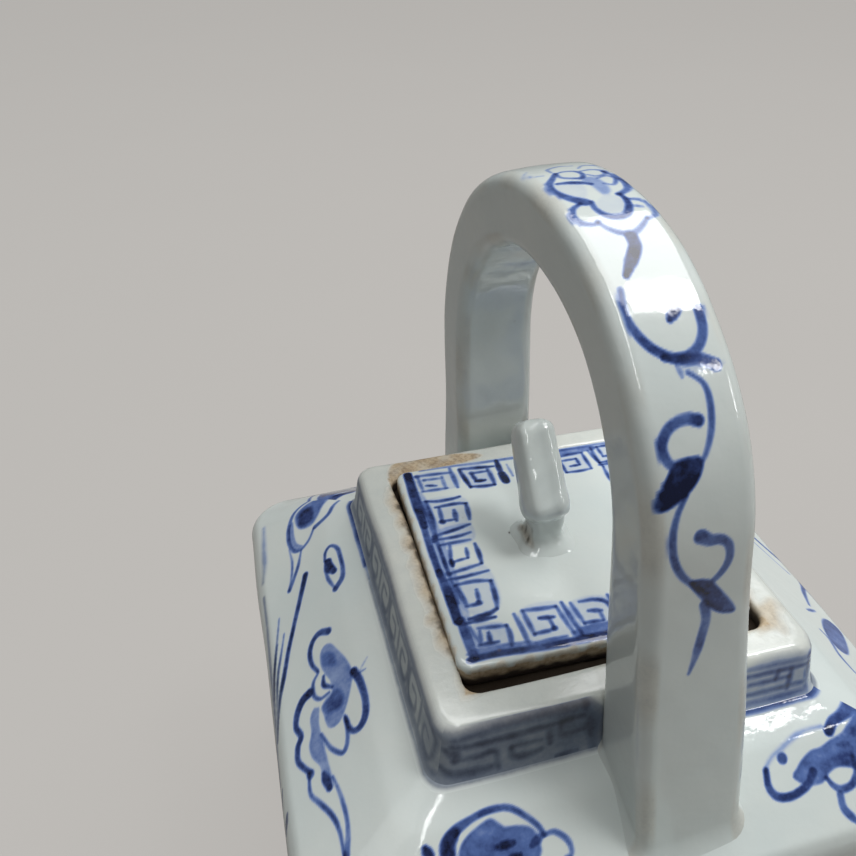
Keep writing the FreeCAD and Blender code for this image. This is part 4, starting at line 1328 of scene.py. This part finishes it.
class Nodes:
    """Adds and joins nodes in one tree."""

    def __init__(self, tree):
        self.tree = tree

    def add(self, kind, **settings):
        node = self.tree.nodes.new(kind)
        for name, value in settings.items():
            setattr(node, name, value)
        return node

    def join(self, source, target):
        self.tree.links.new(source, target)

    def noise(self, where, scale, detail=4.0, rough=0.55):
        node = self.add("ShaderNodeTexNoise")
        node.inputs["Scale"].default_value = scale
        node.inputs["Detail"].default_value = detail
        node.inputs["Roughness"].default_value = rough
        self.join(where, node.inputs["Vector"])
        return node.outputs["Fac"]

    def feed(self, socket, value):
        """Sets a socket to a plain value, or joins it to another node's output."""
        if isinstance(value, (int, float, tuple)):
            socket.default_value = value
        else:
            self.join(value, socket)

    def sums(self, operation, first, second, third=None, clamp=False):
        node = self.add("ShaderNodeMath", operation=operation, use_clamp=clamp)
        for socket, value in zip(node.inputs, (first, second, third)):
            if value is not None:
                self.feed(socket, value)
        return node.outputs["Value"]

    def spread(self, value, low_in, high_in, low_out=0.0, high_out=1.0):
        node = self.add("ShaderNodeMapRange", clamp=True)
        ends = {"From Min": low_in, "From Max": high_in, "To Min": low_out, "To Max": high_out}
        for name, number in ends.items():
            node.inputs[name].default_value = number
        self.join(value, node.inputs["Value"])
        return node.outputs["Result"]

    def ramp(self, value, stops):
        node = self.add("ShaderNodeValToRGB")
        band = node.color_ramp
        while len(band.elements) < len(stops):
            band.elements.new(0.5)
        for element, (place, colour) in zip(band.elements, stops):
            element.position = place
            element.color = colour
        self.join(value, node.inputs["Fac"])
        return node.outputs["Color"]

    def blend(self, share, first, second):
        node = self.add("ShaderNodeMix", data_type="RGBA")
        for place, value in ((0, share), (6, first), (7, second)):
            self.feed(node.inputs[place], value)
        return node.outputs[2]

    def bump(self, shader, height, strength, distance):
        node = self.add("ShaderNodeBump")
        node.inputs["Strength"].default_value = strength
        node.inputs["Distance"].default_value = distance
        self.join(height, node.inputs["Height"])
        self.join(node.outputs["Normal"], shader.inputs["Normal"])

    def show_camera(self, seen, elsewhere, share, output):
        """Shows the camera one shader, by the given share, and all other light the other one."""
        ray = self.add("ShaderNodeLightPath").outputs["Is Camera Ray"]
        mix = self.add("ShaderNodeMixShader")
        self.join(self.sums("MULTIPLY", ray, share), mix.inputs[0])
        self.join(elsewhere, mix.inputs[1])
        self.join(seen, mix.inputs[2])
        self.join(mix.outputs["Shader"], output.inputs["Surface"])


def group_of(name, inputs, outputs):
    tree = bpy.data.node_groups.new(name, "ShaderNodeTree")
    for label, kind in inputs:
        tree.interface.new_socket(name=label, in_out="INPUT", socket_type=kind)
    for label, kind in outputs:
        tree.interface.new_socket(name=label, in_out="OUTPUT", socket_type=kind)
    nodes = Nodes(tree)
    return tree, nodes, nodes.add("NodeGroupInput"), nodes.add("NodeGroupOutput")


def glaze_skin_group():
    """The skin of the glaze: slow waves, fine orange peel, a drift of tint and rare iron specks."""
    tree, nodes, start, end = group_of(
        "glaze_skin", [("Place", "NodeSocketVector")],
        [("Height", "NodeSocketFloat"), ("Drift", "NodeSocketFloat"), ("Specks", "NodeSocketFloat")])
    where = start.outputs["Place"]
    slow = nodes.noise(where, glaze_wave_scale, 2.0)
    peel = nodes.noise(where, glaze_peel_scale, 2.0)
    height = nodes.sums("MULTIPLY_ADD", peel, 0.45, nodes.sums("MULTIPLY", slow, 1.6))
    nodes.join(height, end.inputs["Height"])
    nodes.join(nodes.noise(where, glaze_drift_scale, 5.0), end.inputs["Drift"])
    pits = nodes.add("ShaderNodeTexVoronoi", feature="F1")
    pits.inputs["Scale"].default_value = speck_scale
    nodes.join(where, pits.inputs["Vector"])
    rare = nodes.spread(nodes.noise(where, speck_patch_scale, 1.0), 0.58, 0.66)
    dots = nodes.spread(pits.outputs["Distance"], 0.03, 0.07, 1.0, 0.0)
    nodes.join(nodes.sums("MULTIPLY", dots, rare), end.inputs["Specks"])
    return tree


def cobalt_group():
    """Cobalt under the glaze: thin where the brush ran dry, dark where it pooled."""
    tree, nodes, start, end = group_of(
        "cobalt_brushwork",
        [("Place", "NodeSocketVector"), ("Pigment", "NodeSocketFloat"), ("Ash", "NodeSocketFloat")],
        [("Colour", "NodeSocketColor"), ("Cover", "NodeSocketFloat")])
    where = start.outputs["Place"]
    pooled = nodes.sums("MULTIPLY_ADD", nodes.noise(where, pool_scale, 3.0), 1.1, 0.45)
    streaky = nodes.sums("MULTIPLY_ADD", nodes.noise(where, brush_hair_scale, 2.0), 0.3, 0.85)
    laid = nodes.sums("MULTIPLY", start.outputs["Pigment"], pooled)
    amount = nodes.sums("MULTIPLY", laid, streaky, clamp=True)
    blue = nodes.ramp(amount, [
        (0.0, srgb(186, 196, 210)), (0.25, srgb(146, 165, 202)), (0.5, srgb(86, 111, 168)),
        (0.75, srgb(48, 65, 116)), (1.0, srgb(20, 27, 56))])
    grey = nodes.ramp(amount, [
        (0.0, srgb(178, 184, 184)), (0.25, srgb(136, 144, 150)), (0.5, srgb(98, 108, 120)),
        (0.75, srgb(64, 73, 90)), (1.0, srgb(34, 40, 56))])
    nodes.join(nodes.blend(start.outputs["Ash"], blue, grey), end.inputs["Colour"])
    nodes.join(nodes.spread(amount, 0.0, 0.22), end.inputs["Cover"])
    return tree


def clay_group():
    """Bare fired clay: tan with darker scorched patches and a dry grain."""
    tree, nodes, start, end = group_of(
        "bare_clay_body", [("Place", "NodeSocketVector")],
        [("Colour", "NodeSocketColor"), ("Grain", "NodeSocketFloat")])
    where = start.outputs["Place"]
    patch = nodes.noise(where, clay_patch_scale, 5.0, 0.65)
    grain = nodes.noise(where, clay_grain_scale, 3.0)
    mixed = nodes.sums("MULTIPLY_ADD", grain, 0.35, nodes.sums("MULTIPLY", patch, 0.75))
    colour = nodes.ramp(mixed, [
        (0.25, srgb(92, 72, 52)), (0.42, srgb(148, 127, 100)),
        (0.58, srgb(184, 166, 138)), (0.8, srgb(202, 190, 168))])
    nodes.join(colour, end.inputs["Colour"])
    nodes.join(grain, end.inputs["Grain"])
    return tree


glaze_skin = glaze_skin_group()
cobalt_brushwork = cobalt_group()
bare_clay_body = clay_group()


def finish_tree(name):
    material = bpy.data.materials.new(name)
    material.use_nodes = True
    nodes = Nodes(material.node_tree)
    shader = material.node_tree.nodes["Principled BSDF"]
    where = nodes.add("ShaderNodeTexCoord").outputs["Object"]
    return material, nodes, shader, where


def use_group(nodes, tree, where):
    node = nodes.add("ShaderNodeGroup")
    node.node_tree = tree
    nodes.join(where, node.inputs["Place"])
    return node


def glazed_porcelain_finish():
    """White glaze over the cobalt, with bare clay, tea stain and painted shade where the layers say so.
    """
    material, nodes, shader, where = finish_tree("glazed_porcelain")
    skin = use_group(nodes, glaze_skin, where)
    cobalt = use_group(nodes, cobalt_brushwork, where)
    clay = use_group(nodes, bare_clay_body, where)
    layer = {name: nodes.add("ShaderNodeAttribute", attribute_name=name).outputs["Fac"]
             for name in LAYERS}
    bare = layer["bare"]
    nodes.join(layer["pigment"], cobalt.inputs["Pigment"])
    nodes.join(layer["ash"], cobalt.inputs["Ash"])
    white = nodes.ramp(skin.outputs["Drift"], [(0.3, srgb(203, 212, 210)), (0.7, srgb(211, 217, 213))])
    painted = nodes.blend(cobalt.outputs["Cover"], white, cobalt.outputs["Colour"])
    specks = nodes.sums("MULTIPLY", skin.outputs["Specks"], speck_strength)
    specked = nodes.blend(specks, painted, srgb(96, 78, 62))
    worn = nodes.blend(bare, specked, clay.outputs["Colour"])
    # soaked is dark brown both for tea stain and for painted shade in gaps and down the mouth.
    soaked = nodes.blend(clay.outputs["Grain"], srgb(24, 16, 10), srgb(52, 37, 24))
    nodes.join(nodes.blend(layer["stain_and_shade"], worn, soaked), shader.inputs["Base Color"])
    bare_matt = nodes.spread(bare, 0.1, 0.7, 0.09, 0.75)
    stain_and_shade_matt = nodes.spread(layer["stain_and_shade"], 0.0, 0.6, 0.0, 0.8)
    ash_matt = nodes.spread(layer["ash"], 0.65, 0.85, 0.0, 0.5)
    matt = nodes.sums("MAXIMUM", nodes.sums("MAXIMUM", bare_matt, stain_and_shade_matt), ash_matt)
    nodes.join(matt, shader.inputs["Roughness"])
    shader.inputs["IOR"].default_value = glaze_index
    gritty = nodes.sums("MULTIPLY", clay.outputs["Grain"], bare)
    nodes.bump(shader, nodes.sums("ADD", skin.outputs["Height"], gritty), *glaze_bump)
    return material


def bare_clay_finish(name, darkening):
    """Unglazed clay, darkened by the given share: a little for dry clay, nearly black as painted shade
    for the lid seat.
    """
    material, nodes, shader, where = finish_tree(name)
    clay = use_group(nodes, bare_clay_body, where)
    grain = clay.outputs["Grain"]
    dark = nodes.blend(darkening, clay.outputs["Colour"], srgb(26, 18, 12))
    nodes.join(dark, shader.inputs["Base Color"])
    nodes.join(nodes.spread(grain, 0.3, 0.7, 0.7, 0.9), shader.inputs["Roughness"])
    shader.inputs["Specular IOR Level"].default_value = clay_gloss
    nodes.bump(shader, grain, *clay_bump)
    return material


glazed_porcelain = glazed_porcelain_finish()
bare_clay = bare_clay_finish("bare_clay", dry_soak)
# The lid seat's clay is painted nearly black as shade in the gap round the lid.
shaded_seat_clay = bare_clay_finish("seat_painted_shade_clay", seat_painted_shade)

# Making the pieces
for slab_side in SIDES:
    for slab_part in ("wall", "shoulder", "collar"):
        make_slab(slab_part, slab_side)
make_base()
make_handle()
make_spout()
make_lid_plate()
make_knob()
# The lid seat gets the nearly black clay, painted shade in the gap round the lid.
kept_solids = {"foot_ring": bare_clay, "lid_flange": bare_clay, "lid_seat": shaded_seat_clay}
for node, clay_finish in kept_solids.items():
    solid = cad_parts[node]
    solid.data.materials.clear()
    solid.data.materials.append(clay_finish)


# Floor, light and camera, in metres
floor_half = 3.0
floor_cloud_scale = 6.0
floor_roughness = 0.8
floor_evenness = 0.8
floor_glow = srgb(197, 194, 190)
room_strength = 0.1
lamp_target = Vector((0, 0, rim_height * MM))


def floor_finish():
    material, nodes, shader, where = finish_tree("warm_grey_floor")
    cloud = nodes.noise(where, floor_cloud_scale, 3.0)
    grey = nodes.ramp(cloud, [(0.3, srgb(152, 149, 145)), (0.7, srgb(158, 155, 151))])
    nodes.join(grey, shader.inputs["Base Color"])
    shader.inputs["Roughness"].default_value = floor_roughness
    glow = nodes.add("ShaderNodeEmission")
    glow.inputs["Color"].default_value = floor_glow
    output = material.node_tree.nodes["Material Output"]
    nodes.show_camera(glow.outputs["Emission"], shader.outputs["BSDF"], floor_evenness, output)
    return material


def make_floor():
    shape = bmesh.new()
    bmesh.ops.create_grid(shape, x_segments=1, y_segments=1, size=floor_half)
    floor = add_object("floor", mesh_from("floor", shape))
    floor.data.materials.append(floor_finish())


def make_room():
    """Even light from all round, and the floor's own colour where the camera looks past the floor."""
    world = bpy.data.worlds.new("room")
    world.use_nodes = True
    nodes = Nodes(world.node_tree)
    fill = world.node_tree.nodes["Background"]
    fill.inputs["Color"].default_value = srgb(236, 234, 230)
    fill.inputs["Strength"].default_value = room_strength
    beyond = nodes.add("ShaderNodeBackground")
    beyond.inputs["Color"].default_value = floor_glow
    output = world.node_tree.nodes["World Output"]
    nodes.show_camera(beyond.outputs["Background"], fill.outputs["Background"], 1.0, output)
    bpy.context.scene.world = world


def soft_lamp(name, toward, distance, size, power):
    """A soft box that hangs in the given direction and faces the pot."""
    lamp = bpy.data.lights.new(name, "AREA")
    lamp.shape = "RECTANGLE"
    lamp.size, lamp.size_y = size
    lamp.energy = power
    way = Vector(toward).normalized()
    level = Vector((1, 0, 0)) - way * way.x
    level.normalize()
    facing = Matrix((level, way.cross(level), way)).transposed().to_4x4()
    add_object(name, lamp).matrix_world = Matrix.Translation(lamp_target + way * distance) @ facing


make_floor()
soft_lamp("window", (0.45, -0.12, 0.87), 0.9, (0.28, 0.2), 2.5)
soft_lamp("ceiling", (0.25, 0.2, 0.95), 1.1, (0.88, 0.86), 10.0)
soft_lamp("left_wall", (-0.62, 0.1, 0.78), 1.1, (0.9, 0.9), 1.1)
soft_lamp("tube", (-0.11, -0.4, 0.91), 1.0, (0.075, 0.7), 1.25)
soft_lamp("doorway", (0.55, -0.5, 0.67), 1.0, (0.04, 0.06), 0.14)
soft_lamp("side_window", (0.73, -0.5, 0.45), 1.0, (0.05, 0.18), 0.36)
make_room()
bpy.context.scene.view_settings.view_transform = "Standard"

camera_place = Vector((-49.208, -99.667, 203.43)) * MM
camera_right = Vector((0.96776, -0.25141, -0.01512))
camera_down = Vector((-0.15698, -0.55517, -0.81678))
camera_forward = Vector((0.19696, 0.79283, -0.57674))
camera_lens = 33.52
camera_film = 36.0
camera_near = 0.005
lens = bpy.data.cameras.new("photo_camera")
lens.sensor_width = camera_film
lens.sensor_fit = "HORIZONTAL"
lens.lens = camera_lens
lens.clip_start = camera_near
camera = add_object("photo_camera", lens)
camera_turn = Matrix((camera_right, -camera_down, -camera_forward)).transposed().to_4x4()
camera.matrix_world = Matrix.Translation(camera_place) @ camera_turn
bpy.context.scene.camera = camera
